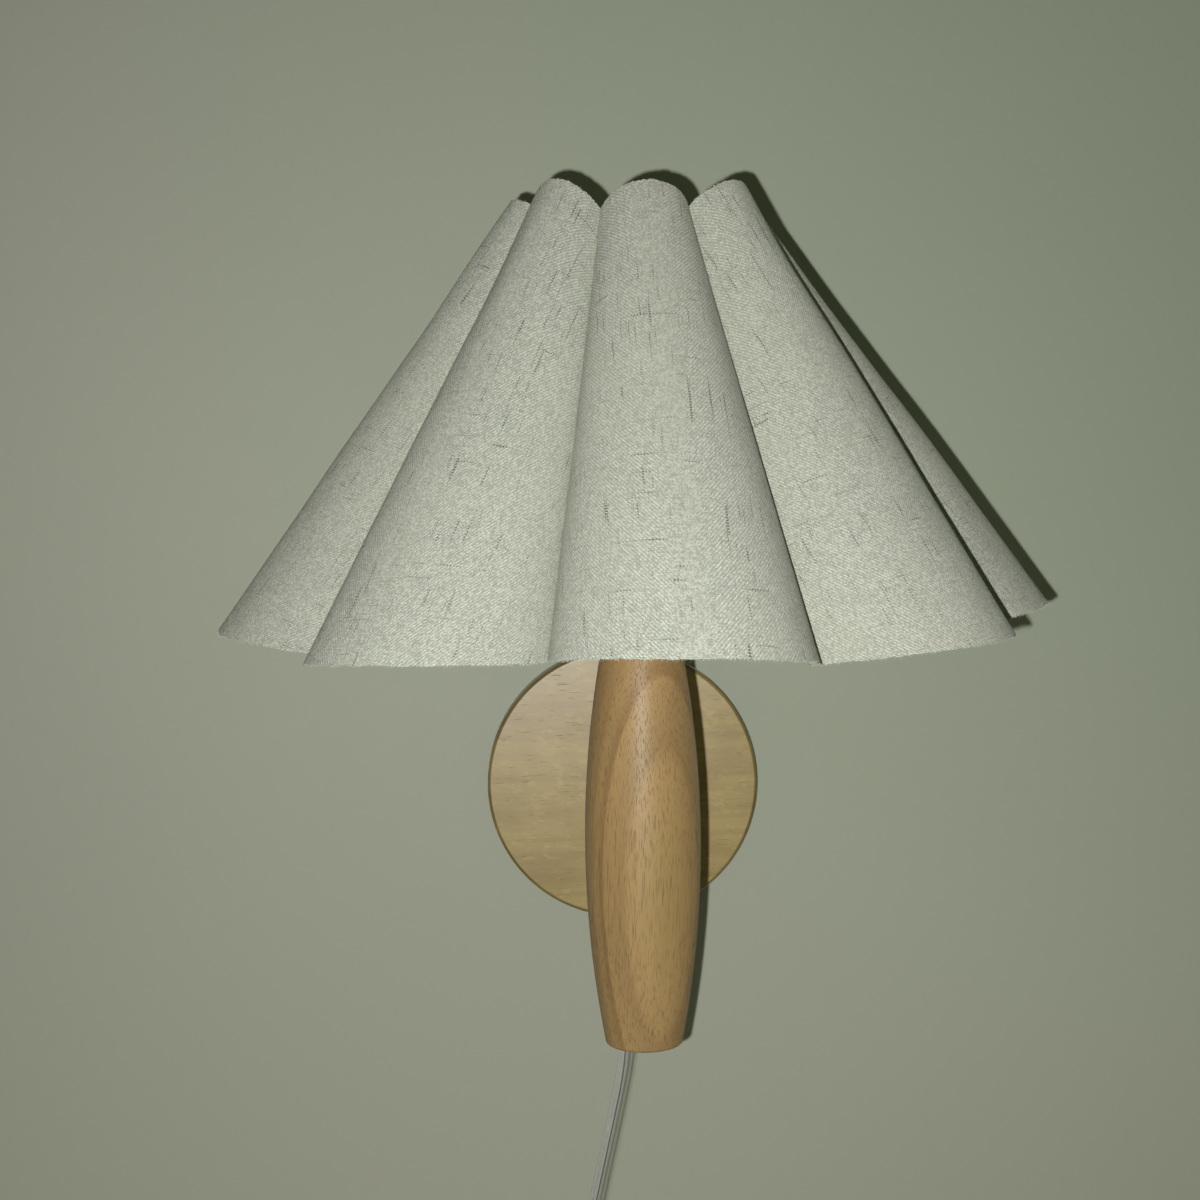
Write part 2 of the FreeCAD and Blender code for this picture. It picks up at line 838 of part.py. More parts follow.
def rim_of(k, end):
    """Flute k's rim: its outer arc, its inner arc, and the fold tips at both creases."""
    left, top, right = crease(k, end), crown(k, end), crease(k + 1, end)
    centre = circle_centre(left, top, right)
    thick = cloth_thick.value

    def inward(point):
        return point - (point - centre).normalize() * thick

    ends = [inward(left), inward(right)]
    return {
        "outer": Part.Arc(left, top, right).toShape(),
        "inner": Part.Arc(ends[0], inward(top), ends[1]).toShape(),
        "creases": [left, right],
        "ends": ends,
        "tips": [crease(k, end, FOLD * thick), crease(k + 1, end, FOLD * thick)],
    }


def line(a, b):
    return Part.LineSegment(a, b).toShape()


def triangle(a, b, c):
    return Part.Face(Part.makePolygon([a, b, c, a]))


def flute_faces(k):
    """Flute k's cloth: both its sides, both rims, and half of each fold."""
    low, top = rim_of(k, 0), rim_of(k, 1)
    faces = [
        Part.makeRuledSurface(low["outer"], top["outer"]),
        Part.makeRuledSurface(low["inner"], top["inner"]),
        Part.makeRuledSurface(low["outer"], low["inner"]),
        Part.makeRuledSurface(top["outer"], top["inner"]),
    ]
    for side in (0, 1):
        low_fold = line(low["ends"][side], low["tips"][side])
        top_fold = line(top["ends"][side], top["tips"][side])
        faces.append(Part.makeRuledSurface(low_fold, top_fold))
        for rim in (low, top):
            faces.append(triangle(rim["creases"][side], rim["ends"][side], rim["tips"][side]))
    return faces


def shade_solid():
    faces = []
    for k in range(flutes):
        faces += flute_faces(k)
    shell = Part.Compound(faces)
    shell.sewShape(1e-4)
    solid = Part.Solid(shell.Shells[0])
    if solid.Volume < 0:
        solid.reverse()
    return solid


shade = node(loose("shade_cloth", shade_solid()), "shade")


# ---------------------------------------------------------------- shade carrier

hoop_high = shade_low + hoop_rise
hoop_share = hoop_rise / shade_tall
crease_at_hoop = crease_low - (crease_low - crease_top) * hoop_share
hoop_rad = crease_at_hoop - cloth_thick * FOLD - wire_rad - crease_slack
hoop = doc.addObject("Part::Torus", "hoop")
bind(hoop, Radius1=hoop_rad, Radius2=wire_rad)
place(hoop, 0, axis_y, hoop_high)


def spoke(k):
    """A straight wire from the fitter ring up to the hoop, under a crease."""
    bearing = radians(shade_turn.value + step / 2 + k * 360 / spokes)
    start_z = fitter_z.value + fitter_thick.value / 2
    reach = hoop_rad.value - fitter_rad.value + 0.6
    climb = hoop_high.value - start_z
    out = Vector(sin(bearing), -cos(bearing), 0)
    tilt = Rotation(Vector(0, 0, 1), out * reach + Vector(0, 0, climb))
    start = out * (fitter_rad.value - 0.6)
    thing = doc.addObject("Part::Cylinder", f"spoke_{k}")
    bind(thing, Radius=wire_rad * 0.96)
    thing.Height = hypot(reach, climb)
    thing.Placement = Placement(Vector(start.x, start.y + axis_y.value, start_z), tilt)
    return thing


fitter = ring("fitter", holder_rad + 0.3, fitter_rad, fitter_thick, 0, axis_y, fitter_z)
carrier = node(join("carrier", [fitter, hoop] + [spoke(k) for k in range(spokes)]), "shade_carrier")


# ---------------------------------------------------------------- cord

def on_axis(point):
    """A route point, in the plane of the spindle's axis."""
    return Vector(point[0], axis_y.value, point[1] - half_spindle.value)


def free_run(points):
    """Straight runs joined by arcs, as edges, with the arcs' radii."""
    edges, radii = [], []
    start = points[0]
    for before, corner, after in zip(points, points[1:], points[2:]):
        back, on = before - corner, after - corner
        reach = 0.45 * min(back.Length, on.Length)
        back_way, on_way = back.normalize(), on.normalize()
        half_turn = (pi - back_way.getAngle(on_way)) / 2
        radius = reach / tan(half_turn)
        first, last = corner + back_way * reach, corner + on_way * reach
        lean = (back_way + on_way).normalize()
        middle = corner + lean * (radius / cos(half_turn) - radius)
        edges.append(line(start, first))
        edges.append(Part.Arc(first, middle, last).toShape())
        radii.append(radius)
        start = last
    edges.append(line(start, points[-1]))
    return edges, radii


def biarc(p0, t0, p1, t1):
    """Two tangent arcs from p0 to p1 that leave along t0 and arrive along t1."""
    v = p1 - p0
    t = t0 + t1
    spread = 2 * (1 - t0.dot(t1))
    along = v.dot(t)
    reach = (sqrt(along**2 + spread * v.dot(v)) - along) / spread
    meet = (p0 + t0 * reach + p1 - t1 * reach) / 2
    return [tangent_arc(p0, t0, meet), tangent_arc(p1, t1 * -1, meet)]


def tangent_arc(start, way, end):
    chord = end - start
    across = chord - way * chord.dot(way)
    radius = chord.dot(chord) / (2 * across.Length)
    centre = start + across.normalize() * radius
    middle = centre + ((start + end) / 2 - centre).normalize() * radius
    return Part.Arc(start, middle, end)


coil_rad = coil_across * cord_dia / 2
pitch = coil_pitch.value
coil_in = coil_rad.value - pitch * coil_turns_each / 2
coil_turns = coil_layers * coil_turns_each
entry = on_axis(CORD_DOWN[-1])
heading = (entry - on_axis(CORD_DOWN[-2])).normalize()
coil_start_rad = coil_in + pitch * coil_turns_each
coil_slope = -pitch / (2 * pi)  # the radius's change in each radian of the first layer


def coil_reach(turn):
    """Radius and depth after so many turns: in, out, in and out again, at a steady rate."""
    layer = min(int(turn / coil_turns_each), coil_layers - 1)
    inside = turn - layer * coil_turns_each
    share = inside if layer % 2 else coil_turns_each - inside
    radius = coil_in + pitch * share
    depth = 0.0
    for k in range(1, coil_layers):
        climb = (turn - k * coil_turns_each + 0.25) / 0.5
        climb = min(max(climb, 0.0), 1.0)
        depth += pitch * climb * climb * (3 - 2 * climb)
    return radius, depth


# the first turn starts where the lead arrives, so the coil's centre follows from it
lead_angle = atan2(heading.z, heading.x)
start_angle = lead_angle - pi / 2 + atan2(coil_slope, coil_start_rad)
coil_centre = entry - Vector(cos(start_angle), 0, sin(start_angle)) * coil_start_rad


def coil_point(turn):
    radius, depth = coil_reach(turn)
    angle = start_angle + 2 * pi * turn
    return coil_centre + Vector(radius * cos(angle), depth, radius * sin(angle))


def coil_way(turn, low, high):
    """The coil's direction, taken within low..high, on one side of any change of rate."""
    step_turn = 1e-4
    a = max(turn - step_turn, low)
    b = min(turn + step_turn, high)
    return (coil_point(b) - coil_point(a)).normalize()


def coil_edges():
    """A biarc for each quarter of a turn."""
    marks = [k / 4 for k in range(int(coil_turns * 4) + 1)]
    edges = []
    way = coil_way(0, 0, coil_turns)
    for low, high in zip(marks, marks[1:]):
        last = high == marks[-1]
        next_way = coil_way(high, low if last else 0, coil_turns)
        edges += [a.toShape() for a in biarc(coil_point(low), way, coil_point(high), next_way)]
        way = next_way
    return edges


def tube(edges, radius):
    path = Part.Wire(Part.__sortEdges__(edges))
    first = edges[0]
    start = first.valueAt(first.FirstParameter)
    way = first.tangentAt(first.FirstParameter)
    rim = Part.Wire([Part.makeCircle(radius, start, way)])
    return path.makePipeShell([rim], True, False), path


down_edges, down_radii = free_run([on_axis(p) for p in CORD_DOWN])
end_point = coil_point(coil_turns)
end_way = coil_way(coil_turns, coil_turns - 0.1, coil_turns)
run_out = (on_axis(PLUG_DROP[0]) - entry).Length
drop_points = [end_point, end_point + end_way * run_out]
drop_points.append(drop_points[-1] + Vector(0, 0, PLUG_DROP[1][1] - PLUG_DROP[0][1]))
drop_edges, drop_radii = free_run(drop_points)
wound = coil_edges()
cord_shape, cord_path = tube(down_edges + wound + drop_edges, cord_dia.value / 2)
node(loose("cord_tube", cord_shape), "supply_cord")


def least_gap():
    """The coil's least clear distance to itself, on points a few degrees apart."""
    steps = 48
    points = [coil_point(k / steps) for k in range(int(coil_turns * steps) + 1)]
    least = 1e9
    for i, a in enumerate(points):
        for b in points[i + steps // 2 :]:
            least = min(least, (a - b).Length)
    return least - cord_dia.value


print("cord path length", round(cord_path.Length, 1), "of", cord_length.value)
print("cord in the coil", round(sum(e.Length for e in wound), 1))
print("cord bend radii", [round(r, 1) for r in down_radii + drop_radii])
print("coil's least bend radius", round(coil_in, 1), "least gap", round(least_gap(), 2))
ideal = pi * (cord_dia.value / 2) ** 2 * cord_path.Length
print("cord volume share", round(cord_shape.Volume / ideal, 4), "valid", cord_shape.isValid())
print("coil centre", [round(c, 2) for c in coil_centre], "end", [round(c, 2) for c in end_point])


# ---------------------------------------------------------------- ties round the coil

def tie(name, up):
    """A band round the turns, above or below the coil's centre."""
    half = cord_dia.value / 2 + 0.25
    inner = coil_in - half
    outer = coil_start_rad + half
    front = -half
    back = pitch * (coil_layers - 1) + half
    t = tie_thick.value
    w = tie_width.value
    low = inner if up > 0 else -outer
    base = coil_centre + Vector(-w / 2, front - t, low - t)
    band = Part.makeBox(w, back - front + 2 * t, outer - inner + 2 * t, base)
    hole = Part.makeBox(w, back - front, outer - inner, base + Vector(0, t, t))
    return loose(name, band.cut(hole).removeSplitter())


node(group("ties", [tie("tie_top", 1), tie("tie_low", -1)]), "cord_ties")

# ---------------------------------------------------------------- inline switch

run_a, run_b = on_axis(CORD_DOWN[-3]), on_axis(CORD_DOWN[-2])
switch_turn = Rotation(Vector(0, 0, 1), run_a - run_b)
switch_place = Placement((run_a + run_b) / 2, switch_turn)
switch_front = switch_deep - switch_back


def rounded_slab(name, deep, y):
    """A slab with round corners, standing on its short end, centred on the cord."""
    corner = switch_corner
    narrow, short = switch_wide - corner * 2, switch_long - corner * 2
    pieces = [
        block(name + "_tall", narrow, deep, switch_long, 0, y, -switch_long / 2),
        block(name + "_wide", switch_wide, deep, short, 0, y, corner - switch_long / 2),
    ]
    for sx in (-1, 1):
        for sz in (-1, 1):
            x = (switch_wide / 2 - corner) * sx
            z = (switch_long / 2 - corner) * sz
            pieces.append(rod(f"{name}_{sx + 1}{sz + 1}", corner, deep, x, y + deep / 2, z, OUT))
    return join(name, pieces)


def switch_channel(name):
    return rod(name, cord_dia / 2 + 0.35, switch_long + 2, 0, 0, -switch_long / 2 - 1)


cavity_wide = rocker_wide + rocker_gap * 2
cavity_long = rocker_long + rocker_gap * 2
cavity_deep = switch_back - 2.1
cavity_low = -cavity_long / 2
switch_screw_x = switch_wide / 2 - switch_screw_in
switch_screw_z = switch_long / 2 - switch_screw_up
SIDEWAYS = Rotation(Vector(0, 1, 0), 90)
switch_base = cut(
    "switch_base_cut",
    rounded_slab("switch_base_slab", switch_back, switch_back / 2 + 0.05),
    switch_channel("base_channel"),
    block("base_cavity", cavity_wide + 3, cavity_deep, cavity_long + 2, 0, cavity_deep / 2, cavity_low - 1),
    rod("base_screw_hole_top", 1.6, 8, -switch_screw_x, 8, switch_screw_z, OUT),
    rod("base_screw_hole_low", 1.6, 8, switch_screw_x, 8, -switch_screw_z, OUT),
)
pin_deep = -switch_front + 2.6
switch_cover = cut(
    "switch_cover_cut",
    rounded_slab("switch_cover_slab", switch_front, -switch_front / 2 - 0.05),
    switch_channel("cover_channel"),
    block("rocker_window", cavity_wide, switch_front + 2, cavity_long, 0, -switch_front / 2 - 1, cavity_low),
    rod("pin_hole", rocker_pin_rad + 0.05, cavity_wide + 3.4, -cavity_wide / 2 - 1.7, pin_deep, 0, SIDEWAYS),
    rod("cover_screw_hole_top", 1.2, 6, -switch_screw_x, 0, switch_screw_z, OUT),
    rod("cover_screw_hole_low", 1.2, 6, switch_screw_x, 0, -switch_screw_z, OUT),
)
node(group("switch_base_part", [switch_base]), "switch_base").Placement = switch_place
node(group("switch_cover_part", [switch_cover]), "switch_cover").Placement = switch_place


def small_screw(side, x, z):
    long = switch_screw_long
    outline = [(0, 0), (2.2, 0), (2.2, 1.2), (1.1, 1.2), (1.1, long), (0, long)]
    return turned(f"switch_screw_{side}", outline, x, switch_back + 1.3, z, OUT)


screw_pair = [
    small_screw("top", -switch_screw_x, switch_screw_z),
    small_screw("low", switch_screw_x, -switch_screw_z),
]
node(group("switch_screw_pair", screw_pair), "switch_screws").Placement = switch_place


def contact(side, x):
    return block(f"contact_{side}", contact_thick, contact_deep, contact_long, x, 2.4, -contact_long / 2)


contacts = group("switch_contact_pair", [contact("left", -5.2), contact("right", 5.2)])
node(contacts, "switch_contacts").Placement = switch_place

rocker_y = rocker_deep / 2 - switch_front - 1.6
rocker = join(
    "rocker_solid",
    [
        block("rocker_bar", rocker_wide, rocker_deep, rocker_long, 0, rocker_y, -rocker_long / 2),
        rod("rocker_pin", rocker_pin_rad, cavity_wide + 2.4, -cavity_wide / 2 - 1.2, pin_deep, 0, SIDEWAYS),
    ],
)
hinge = Vector(0, pin_deep.value, 0)
tilt = Placement(Vector(), Rotation(Vector(1, 0, 0), rocker_tilt.value), hinge)
node(group("rocker_part", [rocker]), "switch_rocker").Placement = switch_place.multiply(tilt)
pivot = switch_place.multVec(hinge)
axis = switch_turn.multVec(Vector(1, 0, 0))
print("rocker pivot", [round(c, 3) for c in pivot], "axis", [round(c, 4) for c in axis])

# ---------------------------------------------------------------- plug

plug_top = drop_points[-1] + Vector(0, 0, 4)
plug_low = plug_top.z - plug_relief_tall.value
relief = turned(
    "plug_relief",
    [(cord_hole_rad, 0), (5.6, 0), (3.6, plug_relief_tall), (cord_hole_rad, plug_relief_tall)],
    plug_top.x,
    plug_top.y,
    plug_low,
)
plug_z = plug_low - plug_tall
plug_side_x = (plug_wide - plug_deep) / 2
grip = join(
    "plug_grip",
    [
        block("plug_block", plug_side_x * 2, plug_deep, plug_tall, plug_top.x, plug_top.y, plug_z),
        rod("plug_side_left", plug_deep / 2, plug_tall, plug_top.x - plug_side_x, plug_top.y, plug_z),
        rod("plug_side_right", plug_deep / 2, plug_tall, plug_top.x + plug_side_x, plug_top.y, plug_z),
    ],
)
blade_in_plug = plain(7.7)


def blade(name, side, slack, long, low):
    """A flat blade, or the slot that holds it."""
    x = plug_top.x + blade_apart / 2 * side
    return block(name, blade_thick + slack, blade_wide + slack, long, x, plug_top.y, low)


slots = [blade(f"slot_{side}", side, 0.1, blade_in_plug + 1.3, plug_z - 1) for side in (-1, 1)]
node(cut("plug_cut", join("plug_blank", [relief, grip]), *slots), "plug_body")
blades = [
    blade(f"blade_{side}", side, 0, blade_long + blade_in_plug, plug_z - blade_long) for side in (-1, 1)
]
node(group("blades", blades), "plug_blades")

# ---------------------------------------------------------------- checks and files

doc.recompute()
for thing in doc.Objects:
    if "Invalid" in thing.State or "Error" in thing.State:
        raise RuntimeError(f"{thing.Name} failed: {thing.State}")
for thing in nodes:
    if thing.Shape.isNull() or not thing.Shape.isValid() or not thing.Shape.Solids:
        raise RuntimeError(f"{thing.Label} has no sound solid")
os.makedirs("parts", exist_ok=True)
for thing in nodes:
    thing.Shape.exportStep(f"parts/{thing.Label}.step")
print("shade to its hoop", round(shade.Shape.distToShape(hoop.Shape)[0], 2))
print(len(nodes), "pieces,", sum(len(t.Shape.Solids) for t in nodes), "solids")
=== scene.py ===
"""Fabric shade wall light: the looks of its pieces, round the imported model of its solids.

Metres. The origin is the centre of the wall plate's back face, on the wall. +X is the
viewer's right, +Y goes into the wall, +Z is up.
"""

from math import atan2, cos, pi, radians, sin
from random import Random

import bmesh
import bpy
from bpy.props import FloatProperty, FloatVectorProperty, IntProperty, PointerProperty
from bpy.types import Operator, Panel, PropertyGroup
from mathutils import Matrix, Quaternion, Vector, noise


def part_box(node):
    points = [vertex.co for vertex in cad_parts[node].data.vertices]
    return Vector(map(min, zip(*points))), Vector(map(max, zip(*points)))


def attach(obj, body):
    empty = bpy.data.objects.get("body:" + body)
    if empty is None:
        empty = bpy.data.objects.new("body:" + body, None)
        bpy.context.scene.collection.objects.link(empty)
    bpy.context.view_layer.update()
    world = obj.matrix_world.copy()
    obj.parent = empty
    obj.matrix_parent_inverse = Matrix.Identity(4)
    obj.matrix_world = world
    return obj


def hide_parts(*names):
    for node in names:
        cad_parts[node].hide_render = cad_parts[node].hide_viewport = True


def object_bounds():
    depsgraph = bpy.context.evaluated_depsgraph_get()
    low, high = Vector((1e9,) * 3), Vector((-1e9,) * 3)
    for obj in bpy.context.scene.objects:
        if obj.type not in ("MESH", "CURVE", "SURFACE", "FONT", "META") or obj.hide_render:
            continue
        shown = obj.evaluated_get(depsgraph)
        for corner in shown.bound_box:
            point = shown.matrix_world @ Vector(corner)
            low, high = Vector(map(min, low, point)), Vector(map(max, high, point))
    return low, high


bl_info = {
    "name": "Fabric Shade Wall Light",
    "version": (1, 0, 0),
    "blender": (4, 5, 0),
    "location": "View3D > Sidebar > Wall Light",
    "description": "Builds the looks of a wall light with a fluted linen shade",
    "category": "Object",
}

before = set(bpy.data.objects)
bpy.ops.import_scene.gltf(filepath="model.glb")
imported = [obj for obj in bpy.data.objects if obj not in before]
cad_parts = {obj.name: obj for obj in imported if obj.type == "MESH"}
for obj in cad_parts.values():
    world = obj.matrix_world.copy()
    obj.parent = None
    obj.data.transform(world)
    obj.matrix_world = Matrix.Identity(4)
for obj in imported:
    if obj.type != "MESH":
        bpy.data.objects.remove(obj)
cad_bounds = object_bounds()

MM = 0.001

# ---- places, from the model

spindle_low, spindle_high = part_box("spindle")
spindle_radius = (spindle_high.x - spindle_low.x) / 2
AXIS = Vector((0, spindle_low.y + spindle_radius, 0))
SPINDLE_TOP = spindle_high.z
SPINDLE_END = spindle_low.z
PLATE_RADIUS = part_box("wall_plate")[1].x
LOWEST = cad_bounds[0][2]

# ---- the shade's hand-cut form

# How far each crease and flute stands off the regular form, at the lower and upper rim,
# in millimetres and degrees, as the photograph shows the five flutes in front. The three
# behind add nothing of their own.
CREASE_TURN = [(0, 0), (1, 0), (1.2, -1.4), (0.6, -1.4), (-0.5, 0), (0.3, 0), (0, 0), (0, 0)]
CREASE_REACH = [(0, 0), (0, 1), (-1, 1.5), (1.5, -2), (0.5, -0.5), (-1, 0), (0, 0), (0, 0)]
CREASE_RISE = [(0, -1), (-3.3, 2), (-0.3, -2.5), (-2, -1), (2.5, 2.5), (2, -1), (0, 0), (0, 0)]
FLUTE_REACH = [(2.5, 0.5), (-1.5, -0.5), (0, -1.5), (-4.5, -1), (0, -5), (0, 0), (0, 0), (0, 0)]
FLUTE_RISE = [(0.5, -2), (-4, 1.5), (-0.5, 0.5), (-1.5, 0.5), (4, -1.5), (0, 0), (0, 0), (0, 0)]
FOLD = 1.3  # the fold's depth behind a crease, in thicknesses of the cloth
FLUTE_PITCH = 0.731  # from one flute's cut to the next on the cloth's map, in metres
CUT_SHARE = 0.93  # how much of the strip of cloth the eight cuts are taken to use
LOOSE_SHARE = 0.11  # the chance that a cut yarn has worked loose
ROOTED = 0.35  # how deep a yarn's end sits in the rim, in millimetres

# The cord's free run: x from the spindle's axis and z from its lower end, in millimetres.
CORD_DOWN = [
    (-7.3, 6.5), (-7.3, -6.0), (-12.6, -31.0), (-22.2, -74.0), (-34.0, -128.0), (-42.3, -164.0),
]
PLUG_DROP = [(-45.3, -177.0), (-45.6, -192.0)]
COIL_STEPS = 16  # route points in one turn of the coil
ARC_STEPS = 8  # sides along the round of one half of the cord's outline
CORE_SHARE = 0.1  # a core's radius, as a share of the cord's thickness
CORE_SIDES = 8


# ---- settings


def a_length(name, description, default, **limits):
    return FloatProperty(name=name, description=description, default=default, unit="LENGTH", **limits)


def a_power(name, description, default):
    return FloatProperty(name=name, description=description, default=default, unit="POWER")


def a_colour(name, description, default):
    return FloatVectorProperty(
        name=name, description=description, default=default, subtype="COLOR", min=0, max=1
    )


class ShadeSettings(PropertyGroup):
    """Sizes and colours of the shade."""

    flutes: IntProperty(name="Flutes", description="Flutes round the shade", default=8, min=8, max=8)
    turn: FloatProperty(
        name="Turn",
        description="How far the shade is turned on its lampholder",
        default=radians(2.2),
        unit="ROTATION",
    )
    rise: a_length("Height", "From the lower to the upper ends of the creases", 0.151)
    crease_low: a_length("Crease, low", "From the axis to a crease at the lower rim", 0.1075)
    crease_top: a_length("Crease, top", "From the axis to a crease at the upper rim", 0.04)
    crown_low: a_length("Crown, low", "From the axis to a flute's middle at the lower rim", 0.1495)
    crown_top: a_length("Crown, top", "From the axis to a flute's middle at the upper rim", 0.0455)
    rim_rise_low: a_length("Rim arch, low", "How far a flute's lower rim rises over its creases", 0.006)
    rim_rise_top: a_length("Rim arch, top", "How far a flute's upper rim rises over its creases", 0.0075)
    thickness: a_length("Thickness", "Linen and its lining together", 0.0008)
    yarn_gap: a_length("Yarn gap", "From one yarn of the weave to the next", 0.00052, precision=5)
    linen: a_colour("Linen", "Colour of the cloth's outside", (0.635, 0.658, 0.55))
    slub: a_colour("Slubs", "Colour of the thick dark threads in the weave", (0.10, 0.10, 0.08))
    lining: a_colour("Lining", "Colour of the film on the cloth's inside", (0.78, 0.78, 0.74))


class WoodSettings(PropertyGroup):
    """Colours of the turned wood."""

    spindle: a_colour("Spindle", "Light wood of the spindle", (0.445, 0.287, 0.117))
    spindle_dark: a_colour("Spindle, dark", "Late wood of the spindle", (0.345, 0.207, 0.083))
    plate: a_colour("Plate", "Light wood of the wall plate", (0.50, 0.375, 0.13))
    plate_dark: a_colour("Plate, dark", "Late wood of the wall plate", (0.335, 0.228, 0.068))


class CordSettings(PropertyGroup):
    """Sizes and colour of the cord."""

    length: a_length("Length", "From the spindle to the plug", 1.8)
    width: a_length("Width", "Across both cores of the flat cord", 0.004, precision=4)
    thickness: a_length("Thickness", "Across one core", 0.0026, precision=4)
    coil_inner: a_length("Coil, inside", "Radius of the innermost turn", 0.0169813, precision=5)
    coil_gap: a_length("Coil, gap", "From one turn to the next", 0.00445, precision=5)
    layers: IntProperty(name="Layers", description="Layers of turns in the coil", default=4, min=2)
    turns: FloatProperty(name="Turns", description="Turns in each layer", default=2.75)
    sheath: a_colour("Sheath", "Tint of the clear sheath", (0.50, 0.52, 0.53))


class StageSettings(PropertyGroup):
    """The wall, the floor and the light."""

    wall: a_colour("Wall", "Colour of the painted wall", (0.50, 0.52, 0.41))
    floor: a_colour("Floor", "Colour of the plain floor", (0.72, 0.72, 0.69))
    lens_light: a_power("Light by the lens", "Power of the small light beside the lens", 3.4)
    soft_light: a_power("Soft light", "Power of the soft light above, which the others follow", 0.6)
    sky: FloatProperty(name="Sky", description="Strength of the even light all round", default=0.034)


class WallLightSettings(PropertyGroup):
    """Everything that a user would change."""

    shade: PointerProperty(type=ShadeSettings)
    wood: PointerProperty(type=WoodSettings)
    cord: PointerProperty(type=CordSettings)
    stage: PointerProperty(type=StageSettings)


def settings():
    return bpy.context.scene.wall_light


# ---- wiring for materials


class Wiring:
    """Adds nodes to one tree and joins them up."""

    def __init__(self, tree):
        self.tree = tree

    def feed(self, socket, value):
        if isinstance(value, bpy.types.NodeSocket):
            self.tree.links.new(value, socket)
        else:
            socket.default_value = value

    def feed_all(self, sockets, values):
        for name, value in values.items():
            self.feed(sockets[name], value)

    def add(self, kind, inputs=None, **choices):
        made = self.tree.nodes.new(kind)
        for name, value in choices.items():
            setattr(made, name, value)
        self.feed_all(made.inputs, inputs or {})
        return made

    def worked_out(self, kind, operation, values):
        made = self.add(kind, operation=operation)
        for socket, value in zip(made.inputs, values):
            self.feed(socket, value)
        return made.outputs

    def math(self, operation, *values):
        return self.worked_out("ShaderNodeMath", operation, values)[0]

    def plus(self, a, b):
        return self.math("ADD", a, b)

    def less(self, a, b):
        return self.math("SUBTRACT", a, b)

    def times(self, a, b):
        return self.math("MULTIPLY", a, b)

    def over(self, a, b):
        return self.math("DIVIDE", a, b)

    def vector(self, operation, *values):
        made = self.worked_out("ShaderNodeVectorMath", operation, values)
        return made["Value" if operation == "LENGTH" else "Vector"]

    def moved(self, vector, place=(0, 0, 0), turn=(0, 0, 0), scale=(1, 1, 1)):
        inputs = {"Vector": vector, "Location": place, "Rotation": turn, "Scale": scale}
        return self.add("ShaderNodeMapping", inputs).outputs[0]

    def split(self, vector):
        return self.add("ShaderNodeSeparateXYZ", {"Vector": vector}).outputs

    def joined(self, x=0.0, y=0.0, z=0.0):
        return self.add("ShaderNodeCombineXYZ", {"X": x, "Y": y, "Z": z}).outputs[0]

    def noise(self, vector, scale=1.0, detail=2.0, roughness=0.5):
        inputs = {"Vector": vector, "Scale": scale, "Detail": detail, "Roughness": roughness}
        return self.add("ShaderNodeTexNoise", inputs).outputs[0]

    def random(self, vector):
        made = self.add("ShaderNodeTexWhiteNoise", {"Vector": vector}, noise_dimensions="3D")
        return made.outputs["Value"]

    def step(self, value, low, high, start=0.0, end=1.0):
        inputs = {"Value": value, "From Min": low, "From Max": high, "To Min": start, "To Max": end}
        made = self.add("ShaderNodeMapRange", inputs, interpolation_type="SMOOTHSTEP")
        return made.outputs[0]

    def between(self, factor, a, b):
        """A number part of the way from a to b."""
        made = self.add("ShaderNodeMapRange", {"Value": factor, "To Min": a, "To Max": b})
        return made.outputs[0]

    def mix(self, factor, a, b):
        made = self.add("ShaderNodeMix", data_type="RGBA")
        for number, value in ((0, factor), (6, a), (7, b)):
            self.feed(made.inputs[number], value)
        return made.outputs[2]

    def ramp(self, value, stops):
        made = self.add("ShaderNodeValToRGB", {"Fac": value})
        band = made.color_ramp
        while len(band.elements) < len(stops):
            band.elements.new(0.5)
        for element, (place, colour) in zip(band.elements, stops):
            element.position = place
            element.color = colour
        return made.outputs[0]

    def bump(self, height, distance, strength):
        inputs = {"Height": height, "Distance": distance, "Strength": strength}
        return self.add("ShaderNodeBump", inputs).outputs[0]

    def group(self, tree, **inputs):
        made = self.add("ShaderNodeGroup", node_tree=tree)
        for name, value in inputs.items():
            self.feed(made.inputs[name.replace("_", " ").capitalize()], value)
        return made.outputs


def tint(colour, factor=1.0):
    """A colour as a socket takes it, lighter or darker by a factor."""
    return (*(min(c * factor, 1.0) for c in tuple(colour)[:3]), 1.0)


def shared_group(name, inputs, outputs):
    """An empty node group with named sockets, and the wiring to fill it."""
    tree = bpy.data.node_groups.new(name, "ShaderNodeTree")
    for label, kind, default in inputs:
        socket = tree.interface.new_socket(label, in_out="INPUT", socket_type=kind)
        if default is not None:
            socket.default_value = default
    for label in outputs:
        tree.interface.new_socket(label, in_out="OUTPUT", socket_type="NodeSocketFloat")
    wires = Wiring(tree)
    enter = tree.nodes.new("NodeGroupInput").outputs
    leave = tree.nodes.new("NodeGroupOutput").inputs
    return tree, wires, enter, leave


def new_material(name, **constants):
    """A material with its shader, the shader's own numbers, and its coordinates."""
    made = bpy.data.materials.new(name)
    made.use_nodes = True
    made.node_tree.nodes.clear()
    wires = Wiring(made.node_tree)
    shader = wires.add("ShaderNodeBsdfPrincipled")
    finish = wires.add("ShaderNodeOutputMaterial")
    made.node_tree.links.new(shader.outputs[0], finish.inputs["Surface"])
    for name, value in constants.items():
        shader.inputs[name.replace("_", " ").title().replace("Ior", "IOR")].default_value = value
    where = wires.add("ShaderNodeTexCoord").outputs
    return made, wires, shader.inputs, where


# ---- shared effects


